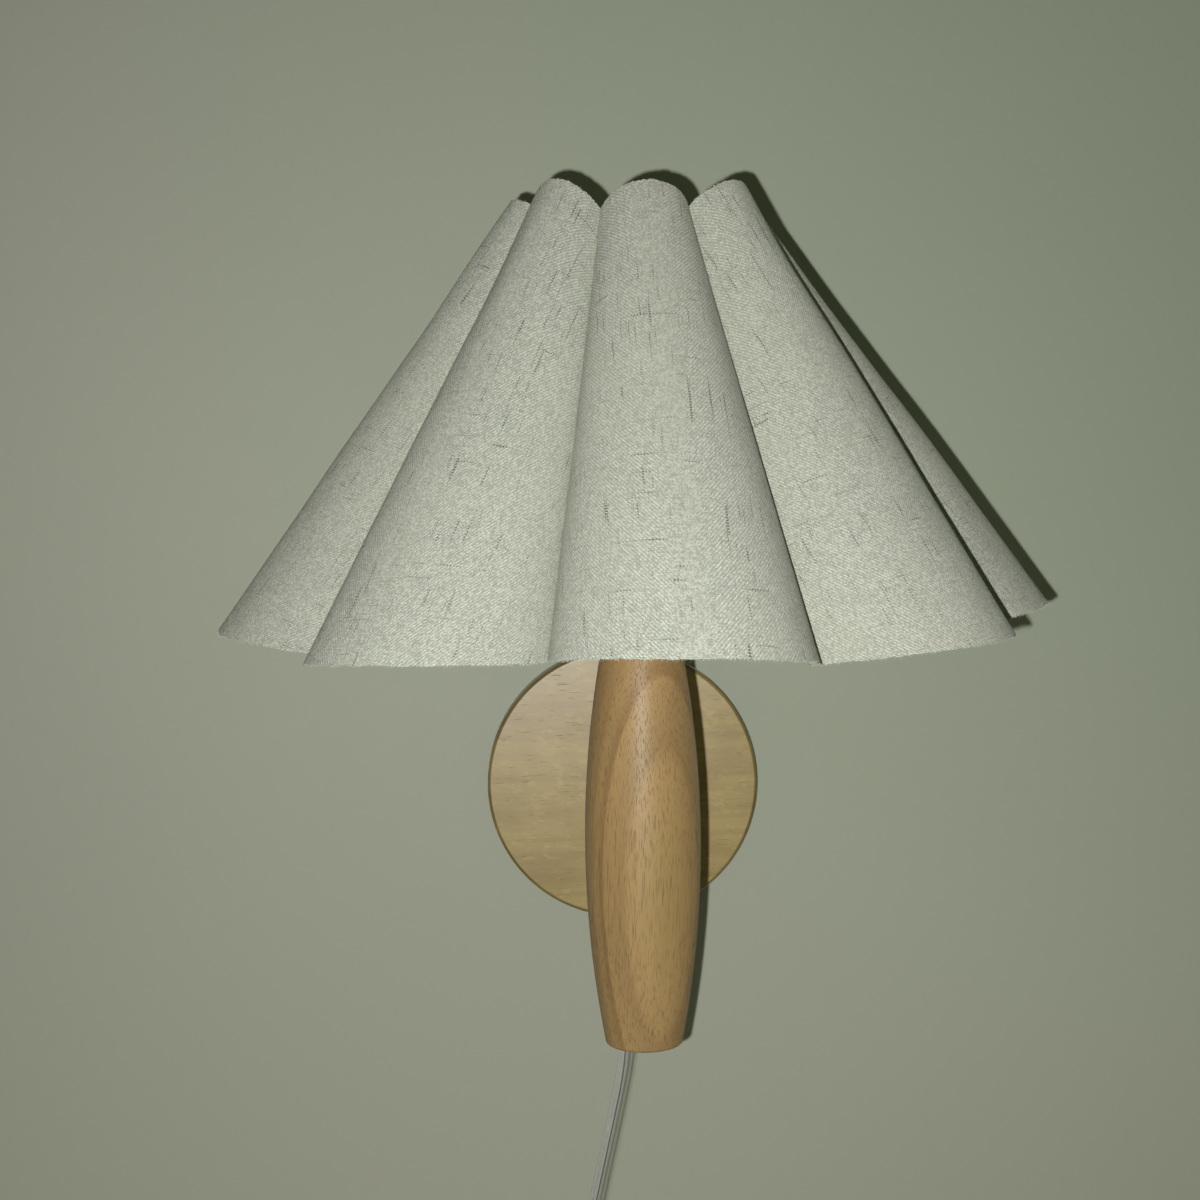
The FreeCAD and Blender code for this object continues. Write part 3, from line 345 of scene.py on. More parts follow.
def wood_figure_group():
    """Growth rings round a pith along Z, fibres and pores, in metres."""
    tree, w, enter, leave = shared_group(
        "Wood figure",
        [
            ("Vector", "NodeSocketVector", None),
            ("Ring gap", "NodeSocketFloat", 0.004),
            ("Waver", "NodeSocketFloat", 0.001),
            ("Pore share", "NodeSocketFloat", 0.3),
        ],
        ["Distance", "Ring", "Fibre", "Pore", "Mottle", "Height"],
    )
    place = enter["Vector"]
    drift = w.noise(w.moved(place, scale=(26, 26, 7)), detail=3, roughness=0.55)
    x, y, _ = w.split(place)
    reach = w.vector("LENGTH", w.joined(x, y, 0.0))
    waver = w.times(w.less(drift, 0.5), w.times(enter["Waver"], 2.0))
    distance = w.plus(reach, waver)
    turn = w.math("FRACT", w.over(distance, enter["Ring gap"]))
    late = w.times(w.step(turn, 0.2, 0.9), w.step(turn, 1.0, 0.93))
    fibre = w.noise(w.moved(place, scale=(1300, 1300, 42)), detail=3, roughness=0.6)
    strand = w.noise(w.moved(place, place=(3, 7, 1), scale=(330, 330, 8)), detail=2)
    fibre = w.plus(w.times(fibre, 0.55), w.times(strand, 0.45))
    pits = w.noise(w.moved(place, place=(5, 2, 9), scale=(3000, 3000, 125)), detail=1, roughness=0.4)
    crowd = w.noise(w.moved(place, place=(1, 8, 4), scale=(90, 90, 25)), detail=2)
    share = w.times(enter["Pore share"], w.plus(crowd, 0.5))
    level = w.less(0.78, w.times(share, 0.4))
    pore = w.step(pits, level, w.plus(level, 0.06))
    mottle = w.noise(w.moved(place, place=(9, 1, 6), scale=(55, 55, 18)), detail=3)
    height = w.less(w.times(fibre, 0.35), pore)
    found = {"Distance": distance, "Ring": late, "Fibre": fibre}
    w.feed_all(leave, {**found, "Pore": pore, "Mottle": mottle, "Height": height})
    return tree


def linen_weave_group():
    """A close weave with ribs across it, uneven yarns and slubs both ways, on a map in metres."""
    tree, w, enter, leave = shared_group(
        "Linen weave",
        [
            ("Vector", "NodeSocketVector", None),
            ("Yarn gap", "NodeSocketFloat", 0.0005),
            ("Rib turn", "NodeSocketFloat", 0.7),
            ("Slub share", "NodeSocketFloat", 0.5),
        ],
        ["Tone", "Slub", "Rib", "Height"],
    )
    x, y, _ = w.split(enter["Vector"])
    warp, weft = w.over(x, enter["Yarn gap"]), w.over(y, enter["Yarn gap"])
    warp_wave = w.math("SINE", w.times(warp, pi))
    weft_wave = w.math("SINE", w.times(weft, pi))
    warp_yarn, weft_yarn = w.math("FLOOR", warp), w.math("FLOOR", weft)
    side = w.math("FLOORED_MODULO", w.plus(warp_yarn, weft_yarn), 2.0)
    cloth = w.between(side, w.math("ABSOLUTE", weft_wave), w.math("ABSOLUTE", warp_wave))
    # yarns swell and thin along their length, and a few are thick and dark for a while
    tones, slubs = [], []
    for across, along, yarn, wave, seed, rare in (
        (x, y, warp_yarn, weft_wave, 2.9, 0.0),
        (y, x, weft_yarn, warp_wave, 6.1, 0.035),
    ):
        spot = w.joined(w.times(across, 2500.0), w.times(along, 190.0), seed)
        tones.append(w.noise(spot, detail=1.0))
        spot = w.joined(w.times(across, 1250.0), w.times(along, 64.0), seed * 3)
        level = w.less(0.758 + rare, w.times(enter["Slub share"], 0.2))
        thick = w.step(w.noise(spot, detail=1.0), level, w.plus(level, 0.05))
        picked = w.step(w.random(w.joined(yarn, seed)), 0.4, 0.45)
        dotted = w.step(wave, -0.2, 0.4, 0.1, 1.0)
        slubs.append(w.times(w.times(thick, picked), dotted))
    crowd = w.noise(w.joined(w.times(x, 42.0), w.times(y, 26.0)), detail=2.0)
    slub = w.times(w.math("MAXIMUM", *slubs), w.step(crowd, 0.36, 0.56, 0.3, 1.0))
    speck = w.random(w.joined(warp_yarn, weft_yarn))
    tone = w.plus(w.times(w.plus(*tones), 0.38), w.times(speck, 0.42))
    # ribs run across the flute, turned by so much
    along_x = w.times(x, w.math("SINE", enter["Rib turn"]))
    place = w.plus(along_x, w.times(y, w.math("COSINE", enter["Rib turn"])))
    rib = w.math("SINE", w.over(place, w.times(enter["Yarn gap"], 0.315)))
    broken = w.noise(w.joined(x, y), scale=520.0, detail=3.0)
    rib = w.times(rib, w.step(broken, 0.34, 0.6, 0.3, 1.0))
    height = w.plus(cloth, w.times(slub, 0.6))
    w.feed_all(leave, {"Tone": tone, "Slub": slub, "Rib": rib, "Height": height})
    return tree


def moulding_group():
    """The faint orange peel, flow marks and dust of a moulded or coated surface."""
    tree, w, enter, leave = shared_group(
        "Moulded surface",
        [("Vector", "NodeSocketVector", None), ("Grain", "NodeSocketFloat", 900.0)],
        ["Tone", "Dust", "Height"],
    )
    place = enter["Vector"]
    w.feed(leave["Tone"], w.noise(place, scale=45.0, detail=3.0))
    w.feed(leave["Dust"], w.step(w.noise(place, scale=260.0, detail=4.0, roughness=0.7), 0.5, 0.8))
    w.feed(leave["Height"], w.noise(place, scale=enter["Grain"], detail=2.0))
    return tree


def worked_metal_group():
    """Drawn or brushed streaks along Z, tarnish spots and fine scratches."""
    tree, w, enter, leave = shared_group(
        "Worked metal",
        [("Vector", "NodeSocketVector", None), ("Streak", "NodeSocketFloat", 30.0)],
        ["Tone", "Tarnish", "Height"],
    )
    place = enter["Vector"]
    streaks = w.vector("MULTIPLY", place, w.joined(2200.0, 2200.0, enter["Streak"]))
    w.feed(leave["Tone"], w.noise(streaks, detail=3.0))
    w.feed(leave["Tarnish"], w.step(w.noise(place, scale=120.0, detail=4.0, roughness=0.65), 0.52, 0.75))
    w.feed(leave["Height"], w.noise(streaks, detail=2.0))
    return tree


SHARED = {}


def shared(name):
    """A shared effect's node group, built the first time it is asked for."""
    builders = {
        "wood": wood_figure_group,
        "linen": linen_weave_group,
        "moulding": moulding_group,
        "metal": worked_metal_group,
    }
    if name not in SHARED:
        SHARED[name] = builders[name]()
    return SHARED[name]


# ---- materials


def surface(w, shader, colour, rough, normal):
    """Joins what varies over a surface to its shader."""
    w.feed_all(shader, {"Base Color": colour, "Roughness": rough, "Normal": normal})


def linen_material():
    look = settings().shade
    made, w, shader, where = new_material(
        "linen", roughness=0.86, specular_ior_level=0.25, sheen_weight=0.04, diffuse_roughness=0.25
    )
    # the ribs lean the other way past each flute's middle line, where they fade out
    across = w.split(where["UV"])[0]
    apart = w.step(w.math("ABSOLUTE", across), 0.001, 0.009, 0.15, 1.0)
    turn = w.step(across, -0.0005, 0.0005, 0.88, -0.88)
    weave = w.group(
        shared("linen"), vector=where["UV"], yarn_gap=look.yarn_gap, rib_turn=turn, slub_share=0.60
    )
    pale, dark = look.linen, look.slub
    tone = w.step(weave["Tone"], 0.36, 0.82)
    colour = w.mix(tone, tint(pale, 0.76), tint(pale, 1.28))
    ribs = w.math("MULTIPLY_ADD", w.times(weave["Rib"], apart), 0.5, 0.5)
    colour = w.mix(w.times(ribs, 0.6), colour, tint(pale, 0.4))
    cloud = w.noise(where["Object"], scale=14.0, detail=3.0)
    warm = (pale[0] * 0.98, pale[1] * 0.94, pale[2] * 0.86, 1)
    colour = w.mix(w.step(cloud, 0.3, 0.75, 0.0, 0.22), colour, warm)
    colour = w.mix(w.times(weave["Slub"], 0.92), colour, tint(dark))
    w.feed_all(shader, {"Base Color": colour, "Normal": w.bump(weave["Height"], 0.00016, 0.8)})
    return made


def loose_yarn_material():
    look = settings().shade
    made, w, shader, where = new_material("loose_yarn", roughness=0.9, specular_ior_level=0.2)
    tone = w.noise(where["Object"], scale=700.0, detail=2.0)
    colour = w.mix(tone, tint(look.linen, 1.25), tint(look.linen, 0.7))
    w.feed(shader["Base Color"], colour)
    return made


def lining_material():
    look = settings().shade
    made, w, shader, where = new_material("lining_film", specular_ior_level=0.4)
    film = w.group(shared("moulding"), vector=where["Object"], grain=380.0)
    colour = w.mix(film["Tone"], tint(look.lining), tint(look.lining, 0.93))
    weave = w.group(shared("linen"), vector=where["UV"], yarn_gap=look.yarn_gap, slub_share=0.3)
    colour = w.mix(w.times(weave["Slub"], 0.18), colour, tint(look.slub))
    normal = w.bump(film["Height"], 0.00004, 0.4)
    surface(w, shader, colour, w.between(film["Dust"], 0.42, 0.6), normal)
    return made


def satin_wood(light, dark, figure, w, shader, colour, rough=(0.46, 0.62), pores=0.45):
    """The common finish of lacquered wood over the colour of its rings."""
    colour = w.mix(w.step(figure["Fibre"], 0.3, 0.72, 0.0, 0.30), colour, tint(dark, 0.95))
    colour = w.mix(w.step(figure["Mottle"], 0.35, 0.7, 0.0, 0.28), colour, tint(light, 1.12))
    colour = w.mix(w.times(figure["Pore"], pores), colour, tint(dark, 0.42))
    normal = w.bump(figure["Height"], 0.00006, 0.6)
    surface(w, shader, colour, w.between(figure["Pore"], *rough), normal)


# pith of the spindle's wood, from the spindle's axis, and how it leans
PITH_X, PITH_Y, PITH_LEAN = -9.4 * MM, 23.2 * MM, 0.046


def spindle_wood_material():
    """Flat-sawn figure: rings round a pith behind the barrel cut it in nested arches."""
    look = settings().wood
    made, w, shader, where = new_material("spindle_wood", specular_ior_level=0.4)
    pith = (-PITH_X, -(AXIS.y + PITH_Y), 0.0)
    place = w.moved(where["Object"], place=pith, turn=(-PITH_LEAN, -PITH_LEAN * 0.4, 0.0))
    figure = w.group(shared("wood"), vector=place, ring_gap=0.0046, waver=0.0011, pore_share=0.5)
    light, dark = look.spindle, look.spindle_dark
    span = 0.05  # metres from the pith; the places below are shares of it
    bands = [
        (place, tint(wood, tone))
        for place, wood, tone in (
            (0.0, dark, 1.1),
            (0.30, light, 0.92),
            (0.45, dark, 1.05),
            (0.53, light, 0.92),
            (0.60, dark, 1.1),
            (0.64, light, 0.90),
            (0.668, dark, 1.15),
            (0.70, light, 1.0),
            (0.728, light, 0.92),
            (0.745, dark, 0.98),
            (0.760, dark, 0.94),
            (0.769, light, 1.10),
            (0.80, light, 1.0),
            (0.853, light, 0.84),
            (0.870, light, 1.06),
        )
    ]
    bands.append((0.94, (light[0] * 0.95, light[1] * 1.02, light[2] * 0.95, 1)))
    ring = w.ramp(w.over(figure["Distance"], span), bands)
    satin_wood(light, dark, figure, w, shader, ring)
    return made


def plate_wood_material():
    """Grain that runs level across the disc, nearly quarter-sawn, in uneven bands."""
    look = settings().wood
    made, w, shader, where = new_material(
        "plate_wood", coat_weight=0.38, coat_roughness=0.4, specular_ior_level=0.6
    )
    place = w.moved(where["Object"], turn=(0.0, -pi / 2, 0.0))
    place = w.moved(place, place=(0.085, 0.06, 0.0), turn=(0.02, 0.03, 0.0))
    figure = w.group(shared("wood"), vector=place, ring_gap=0.0105, waver=0.0022, pore_share=0.2)
    light, dark = look.plate, look.plate_dark
    reach = figure["Distance"]
    wide = w.noise(w.joined(w.times(reach, 190.0), 3.0), detail=3.0)
    fine = w.noise(w.joined(w.times(reach, 640.0), 8.0), detail=2.0)
    come = w.noise(w.moved(place, scale=(60, 60, 22)), detail=2.0)
    ring = w.mix(w.step(wide, 0.38, 0.66, 0.0, 0.5), tint(light), tint(dark))
    line = w.times(w.step(fine, 0.6, 0.7, 0.0, 0.5), w.step(come, 0.46, 0.62))
    ring = w.mix(line, ring, tint(dark, 0.72))
    # pale flecks where the rays lie open, and painted shade round the rim, where the end grain is darker
    # too
    x, _, z = w.split(where["Object"])
    fleck = w.noise(w.moved(where["Object"], scale=(150, 150, 330)), detail=3.0, roughness=0.6)
    ring = w.mix(w.step(fleck, 0.5, 0.66, 0.0, 0.85), ring, tint(light, 1.2))
    cloud = w.noise(w.moved(where["Object"], scale=(38, 38, 80)), detail=2.0)
    ring = w.mix(w.step(cloud, 0.4, 0.66, 0.0, 0.55), ring, tint(dark))
    # painted shade: the rounded rim darkens towards its edge, together with its darker end grain
    reach = w.math("SQRT", w.plus(w.times(x, x), w.times(z, z)))
    rim = w.step(reach, PLATE_RADIUS - 1.6 * MM, PLATE_RADIUS - 1.1 * MM, 0.0, 0.8)
    ring = w.mix(rim, ring, tint(dark, 0.4))
    satin_wood(light, dark, figure, w, shader, ring, rough=(0.36, 0.5), pores=0.5)
    return made


def arm_wood_material():
    """The same wood as the spindle, with its grain along the arm."""
    look = settings().wood
    made, w, shader, where = new_material("arm_wood", specular_ior_level=0.4)
    place = w.moved(where["Object"], turn=(pi / 2, 0.0, 0.0))
    place = w.moved(place, place=(0.021, 0.016, 0.0), turn=(0.03, -0.02, 0.0))
    figure = w.group(shared("wood"), vector=place, ring_gap=0.0052, waver=0.0012, pore_share=0.5)
    light, dark = look.spindle, look.spindle_dark
    ring = w.mix(w.times(figure["Ring"], 0.75), tint(light), tint(dark))
    satin_wood(light, dark, figure, w, shader, ring)
    return made


def metal_material(name, colour, tarnish, rough, streak=30.0):
    made, w, shader, where = new_material(name, metallic=1.0)
    work = w.group(shared("metal"), vector=where["Object"], streak=streak)
    tone = w.mix(work["Tone"], tint(colour, 1.1), tint(colour, 0.82))
    tone = w.mix(w.times(work["Tarnish"], 0.35), tone, tint(tarnish))
    normal = w.bump(work["Height"], 0.00003, 0.4)
    surface(w, shader, tone, w.between(work["Tarnish"], rough, rough + 0.2), normal)
    return made


def moulded_material(name, colour, rough, grain=900.0, **constants):
    made, w, shader, where = new_material(name, **constants)
    skin = w.group(shared("moulding"), vector=where["Object"], grain=grain)
    tone = w.mix(skin["Tone"], tint(colour, 1.03), tint(colour, 0.92))
    tone = w.mix(w.times(skin["Dust"], 0.12), tone, tint(colour, 0.72))
    normal = w.bump(skin["Height"], 0.00004, 0.35)
    surface(w, shader, tone, w.between(skin["Dust"], rough, rough + 0.14), normal)
    return made


def clear_cord_material():
    """Clear PVC, milkier where the eye passes through more of it."""
    look = settings().cord
    made, w, shader, where = new_material("clear_pvc", ior=1.5, specular_ior_level=0.4)
    skin = w.group(shared("moulding"), vector=where["Object"], grain=420.0)
    colour = w.mix(skin["Tone"], tint(look.sheath), tint(look.sheath, 0.9))
    edge = w.add("ShaderNodeLayerWeight", {"Blend": 0.35}).outputs["Facing"]
    w.feed(shader["Alpha"], w.step(edge, 0.0, 0.9, 0.09, 0.3))
    surface(w, shader, colour, w.between(skin["Dust"], 0.3, 0.45), w.bump(skin["Height"], 0.00002, 0.3))
    return made


def frosted_glass_material():
    made, w, shader, where = new_material("frosted_glass", transmission_weight=0.35, ior=1.5)
    skin = w.group(shared("moulding"), vector=where["Object"], grain=1600.0)
    colour = w.mix(skin["Tone"], (0.93, 0.93, 0.91, 1), (0.86, 0.86, 0.84, 1))
    normal = w.bump(skin["Height"], 0.00002, 0.3)
    surface(w, shader, colour, w.between(skin["Dust"], 0.32, 0.45), normal)
    return made


def stage_material(name, colour, rough, mottle):
    """A plain painted surface, clear from behind, that casts no shadow."""
    made, w, shader, where = new_material(name, specular_ior_level=0.3)
    cloud = w.noise(where["Object"], scale=2.6, detail=4.0)
    tone = w.mix(w.step(cloud, 0.3, 0.7, 0.0, mottle), tint(colour), tint(colour, 0.93))
    along, _, up = w.split(where["Object"])
    # painted shade: the surface turns darker and greener towards its right and its top
    side = w.step(w.plus(along, w.times(up, 0.35)), -0.22, 0.38, 0.0, 0.55)
    tone = w.mix(side, tone, (colour[0] * 0.80, colour[1] * 0.95, colour[2] * 0.84, 1))
    # painted light: the surface turns lighter towards its lower part
    painted_light = w.step(w.less(up, w.times(along, 0.3)), -0.28, 0.1, 0.5, 0.0)
    tone = w.mix(painted_light, tone, (colour[0] * 1.2, colour[1] * 1.14, colour[2] * 1.16, 1))
    normal = w.bump(w.noise(where["Object"], scale=160.0, detail=3.0), 0.0004, 0.25)
    surface(w, shader, tone, w.between(w.noise(where["Object"], scale=30.0), rough, rough + 0.1), normal)
    clear = w.add("ShaderNodeBsdfTransparent")
    behind = w.add("ShaderNodeNewGeometry").outputs["Backfacing"]
    shadow = w.add("ShaderNodeLightPath").outputs["Is Shadow Ray"]
    both = w.add("ShaderNodeMixShader", {"Fac": w.math("MAXIMUM", behind, shadow)})
    solid = next(n for n in made.node_tree.nodes if n.type == "BSDF_PRINCIPLED")
    finish = next(n for n in made.node_tree.nodes if n.type == "OUTPUT_MATERIAL")
    made.node_tree.links.new(solid.outputs[0], both.inputs[1])
    made.node_tree.links.new(clear.outputs[0], both.inputs[2])
    made.node_tree.links.new(both.outputs[0], finish.inputs["Surface"])
    return made


# ---- helpers for pieces


def deselect_all():
    for thing in list(bpy.context.selected_objects):
        thing.select_set(False)


def new_piece(name, mesh, *materials):
    thing = bpy.data.objects.new(name, mesh)
    bpy.context.scene.collection.objects.link(thing)
    for made in materials:
        mesh.materials.append(made)
    return thing


def finished(name, work):
    """The mesh that was worked on, under its name."""
    mesh = bpy.data.meshes.new(name)
    work.to_mesh(mesh)
    work.free()
    return mesh


def dress(names, material):
    """Gives carried-over pieces a material."""
    for name in names:
        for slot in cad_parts[name].material_slots:
            slot.link = "OBJECT"
            slot.material = material


def smooth_but_for(mesh, angle):
    """Smooth faces, with sharp edges where two faces meet at more than an angle."""
    work = bmesh.new()
    work.from_mesh(mesh)
    for face in work.faces:
        face.smooth = True
    for edge in work.edges:
        edge.smooth = len(edge.link_faces) == 2 and edge.calc_face_angle(0) < angle
    work.to_mesh(mesh)
    work.free()


# ---- shade


class RimArc:
    """The arc of a flute's rim, through both its creases and its crown."""

    def __init__(self, left, crown, right):
        ab, ac = crown - left, right - left
        normal = ab.cross(ac)
        reach = normal.cross(ab) * ac.dot(ac) + ac.cross(normal) * ab.dot(ab)
        self.centre = left + reach / (2 * normal.dot(normal))
        self.spoke = left - self.centre
        self.radius = self.spoke.length
        self.normal = normal.normalized()
        middle, last = crown - self.centre, right - self.centre
        self.sweep = self.spoke.angle(middle) + middle.angle(last)
        self.length = self.radius * self.sweep

    def way_out(self, share):
        return (Quaternion(self.normal, self.sweep * share) @ self.spoke).normalized()

    def at(self, share, inset=0.0):
        return self.centre + self.way_out(share) * (self.radius - inset)


class Shade:
    """Where the cloth is: flute by flute, across a flute and up it."""

    columns = 56
    rows = 44

    def __init__(self, look):
        self.look = look
        self.step = 2 * pi / look.flutes
        low, top = SPINDLE_TOP, SPINDLE_TOP + look.rise
        self.rims = (
            (low, look.crease_low, look.crown_low, look.rim_rise_low),
            (top, look.crease_top, look.crown_top, look.rim_rise_top),
        )
        self.low = [self.rim_of(k, 0) for k in range(look.flutes)]
        self.top = [self.rim_of(k, 1) for k in range(look.flutes)]

    def around(self, radius, bearing, height):
        """A point at a bearing from straight out of the wall, turning to the viewer's right."""
        angle = bearing + self.look.turn
        return AXIS + Vector((radius * sin(angle), -radius * cos(angle), height))

    def crease(self, k, end, inset=0.0):
        k %= self.look.flutes
        height, reach, _, _ = self.rims[end]
        bearing = (k - 2.5) * self.step + radians(CREASE_TURN[k][end])
        radius = reach + CREASE_REACH[k][end] * MM - inset
        return self.around(radius, bearing, height + CREASE_RISE[k][end] * MM)

    def crown(self, k, end):
        _, _, reach, rise = self.rims[end]
        after = (k + 1) % self.look.flutes
        turn = radians(CREASE_TURN[k][end] + CREASE_TURN[after][end]) / 2
        height = (self.crease(k, end).z + self.crease(k + 1, end).z) / 2 + rise + FLUTE_RISE[k][end] * MM
        return self.around(reach + FLUTE_REACH[k][end] * MM, (k - 2) * self.step + turn, height)

    def rim_of(self, k, end):
        return RimArc(self.crease(k, end), self.crown(k, end), self.crease(k + 1, end))

    def slack(self, k, across, up):
        """How far the cloth swells or dents off its ruled form; none at the creases."""
        hold = sin(pi * across)
        wave = noise.noise(Vector((across * 1.7 + k * 5.3, up * 2.6, k * 2.9)))
        crumple = noise.noise(Vector((across * 5.1, up * 6.4 + k * 3.7, k * 1.3)))
        dent = 0.0
        if k == 1:
            dent = -1.1 * MM * bell(across, 0.27, 0.13) * bell(up, 0.80, 0.16)
        if k == 3:
            dent = -1.9 * MM * bell(across, 0.78, 0.2) * bell(up, 0.84, 0.14)
        return hold * (0.75 * MM * wave + 0.22 * MM * crumple) + dent * hold

    def ravel(self, k, across, end):
        """How far the raw cut edge wanders along the cloth."""
        spot = Vector((across * 31.0 + k * 13.7, end * 9.1, 0.5))
        return 0.35 * MM * noise.noise(spot) + 0.55 * MM * noise.noise(spot * 3.7)

    def point(self, k, across, up, inset=0.0):
        low, top = self.low[k], self.top[k]
        a, b = low.at(across, inset), top.at(across, inset)
        way = low.way_out(across).lerp(top.way_out(across), up).normalized()
        spot = a.lerp(b, up) + way * self.slack(k, across, up)
        if up in (0.0, 1.0):
            spot += (b - a).normalized() * self.ravel(k, across, up)
        return spot

    def fold_tip(self, k, up):
        depth = FOLD * self.look.thickness
        return self.crease(k, 0, depth).lerp(self.crease(k, 1, depth), up)

    def slant(self, k):
        return (self.top[k].at(0.5) - self.low[k].at(0.5)).length

    def flat_place(self, k, across, up):
        """The same spot on the flute's flat cut, with the yarns along its middle line."""
        low, top, slant = self.low[k].length, self.top[k].length, self.slant(k)
        spread = (low - top) / slant
        reach = top / spread + (1 - up) * slant
        angle = spread * (across - 0.5)
        return reach * sin(angle), -reach * cos(angle) + FLUTE_PITCH * k

    def cut_area(self):
        rims = enumerate(zip(self.low, self.top))
        return sum((low.length + top.length) / 2 * self.slant(k) for k, (low, top) in rims)


def bell(value, middle, width):
    return 2.718 ** (-(((value - middle) / width) ** 2))


def shade_mesh(shade):
    """Linen outside and lining inside, closed at both rims and folded at each crease."""
    look, columns, rows = shade.look, shade.columns, shade.rows
    mesh = bmesh.new()
    chart = mesh.loops.layers.uv.new("cloth")
    heights = [j / rows for j in range(rows + 1)]
    outer = []
    for k in range(look.flutes):
        for i in range(columns):
            outer.append([mesh.verts.new(shade.point(k, i / columns, up)) for up in heights])
    stations = []
    for k in range(look.flutes):
        for i in range(columns + 1):
            across = i / columns
            front = outer[(k * columns + i) % len(outer)]
            back = [mesh.verts.new(shade.point(k, across, up, look.thickness)) for up in heights]
            stations.append((front, back, k, across))
        tip = [mesh.verts.new(shade.fold_tip(k + 1, up)) for up in heights]
        stations.append((outer[(k + 1) * columns % len(outer)], tip, k, 1.0))

    def skin(corners, spots, material):
        face = mesh.faces.new(corners)
        face.material_index = material
        for loop, (k, across, up) in zip(face.loops, spots):
            loop[chart].uv = shade.flat_place(k, across, up)

    following = stations[1:] + stations[:1]
    for (front, back, k, s), (front_on, back_on, k_on, s_on) in zip(stations, following):
        s_next = s_on if k_on == k else 1.0
        for j in range(rows):
            low, high = heights[j], heights[j + 1]
            spots = [(k, s, low), (k, s_next, low), (k, s_next, high), (k, s, high)]
            if front is not front_on:
                skin([front[j], front_on[j], front_on[j + 1], front[j + 1]], spots, 0)
            skin([back[j + 1], back_on[j + 1], back_on[j], back[j]], spots[::-1], 1)
        for j, flip in ((0, False), (rows, True)):
            corners = [front[j], back[j], back_on[j]]
            if front is not front_on:
                corners.append(front_on[j])
            here, there = (k, s, heights[j]), (k, s_next, heights[j])
            skin(corners[::-1] if flip else corners, [here, here, there, there], 0)
    made = finished("shade_cloth", mesh)
    smooth_but_for(made, radians(35))
    return made


def yarn_ends_mesh(shade):
    """The ends of the cut yarns along both raw rims, most of them short."""
    luck = Random(11)
    mesh = bmesh.new()
    for k in range(shade.look.flutes):
        for end, rims in ((0, shade.low), (1, shade.top)):
            count = int(rims[k].length / (shade.look.yarn_gap * 1.3))
            for n in range(count):
                yarn_end(mesh, shade, k, (n + luck.uniform(0.2, 0.8)) / count, end, luck)
    made = finished("shade_yarn_ends", mesh)
    smooth_but_for(made, pi)
    return made


def yarn_end(mesh, shade, k, across, end, luck):
    """One yarn: rooted in the rim, leaving along it and curling away."""
    rim = shade.point(k, across, float(end))
    away = (rim - shade.point(k, across, 0.02 if end == 0 else 0.98)).normalized()
    aside = 0.01 if across < 0.5 else -0.01
    along = (shade.point(k, across + aside, float(end)) - rim).normalized()
    out = (shade.low if end == 0 else shade.top)[k].way_out(across)
    loose = luck.random() < LOOSE_SHARE
    wild = 1.0 if loose else 0.3
    long = (luck.uniform(0.8, 1.9) if loose else luck.uniform(0.15, 1.05)) * MM
    long *= 1.0 if end == 0 else 0.7
    lean = luck.uniform(-1.5, 1.5) * wild
    curl = luck.uniform(-0.5, 0.9) * wild
    half = (luck.uniform(0.07, 0.1) if loose else luck.uniform(0.13, 0.2)) * MM
    root = rim - out * shade.look.thickness * luck.uniform(0.15, 0.6) - away * ROOTED * MM
    steps = 5 if loose else 3
    turns = (0, 2 * pi / 3, 4 * pi / 3)
    rings = []
    for step in range(steps):
        share = step / (steps - 1)
        spot = root + away * (ROOTED * MM * share + long * share * 0.75)
        spot = spot + along * lean * long * share * share * 0.6 + out * curl * long * share * share * 0.5
        size = half * (1 - 0.6 * share)
        rings.append([mesh.verts.new(spot + (along * cos(a) + out * sin(a)) * size) for a in turns])
    for low, high in zip(rings, rings[1:]):
        for i in range(3):
            mesh.faces.new([low[i], low[(i + 1) % 3], high[(i + 1) % 3], high[i]])
    mesh.faces.new(rings[0][::-1])
    mesh.faces.new(rings[-1])
    bmesh.ops.recalc_face_normals(mesh, faces=mesh.faces[-2 - 3 * (steps - 1):])


class WALL_LIGHT_OT_shade(Operator):
    """Lay the fluted linen shade over its wire carrier"""

    bl_idname = "wall_light.shade"
    bl_label = "Linen Shade"

    def execute(self, context):
        look = settings().shade
        shade = Shade(look)
        cloth = new_piece("shade_cloth", shade_mesh(shade), linen_material(), lining_material())
        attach(cloth, "lamp")
        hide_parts("shade")
        ends = new_piece("shade_yarn_ends", yarn_ends_mesh(shade), loose_yarn_material())
        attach(ends, "lamp")
        # the strip's length follows from the cuts' area and the share that they are taken to use
        area = shade.cut_area()
        strip = area / CUT_SHARE / (shade.slant(2) + 0.006)
        shade.slant(2) + 0.006
        return {"FINISHED"}


# ---- cord


def on_axis(point):
    """A route point, in the plane of the spindle's axis."""
    return Vector((point[0] * MM, AXIS.y, SPINDLE_END + point[1] * MM))


def coil_points(look, entry, heading):
    """The coil's turns, in, out, in and out again, each layer behind the last."""
    outer = look.coil_inner + look.coil_gap * look.turns
    start = atan2(heading.z, heading.x) - pi / 2 + atan2(-look.coil_gap / (2 * pi), outer)
    centre = entry - Vector((cos(start), 0, sin(start))) * outer
    points = []
    for n in range(1, int(look.layers * look.turns * COIL_STEPS) + 1):
        turn = n / COIL_STEPS
        layer = min(int(turn / look.turns), look.layers - 1)
        inside = turn - layer * look.turns
        share = inside if layer % 2 else look.turns - inside
        radius = (look.coil_inner + look.coil_gap * share) / cos(pi / COIL_STEPS)
        depth = 0.0
        for k in range(1, look.layers):
            climb = min(max((turn - k * look.turns + 0.25) / 0.5, 0.0), 1.0)
            depth += look.coil_gap * climb * climb * (3 - 2 * climb)
        angle = start + 2 * pi * turn
        points.append(centre + Vector((radius * cos(angle), depth, radius * sin(angle))))
    return points


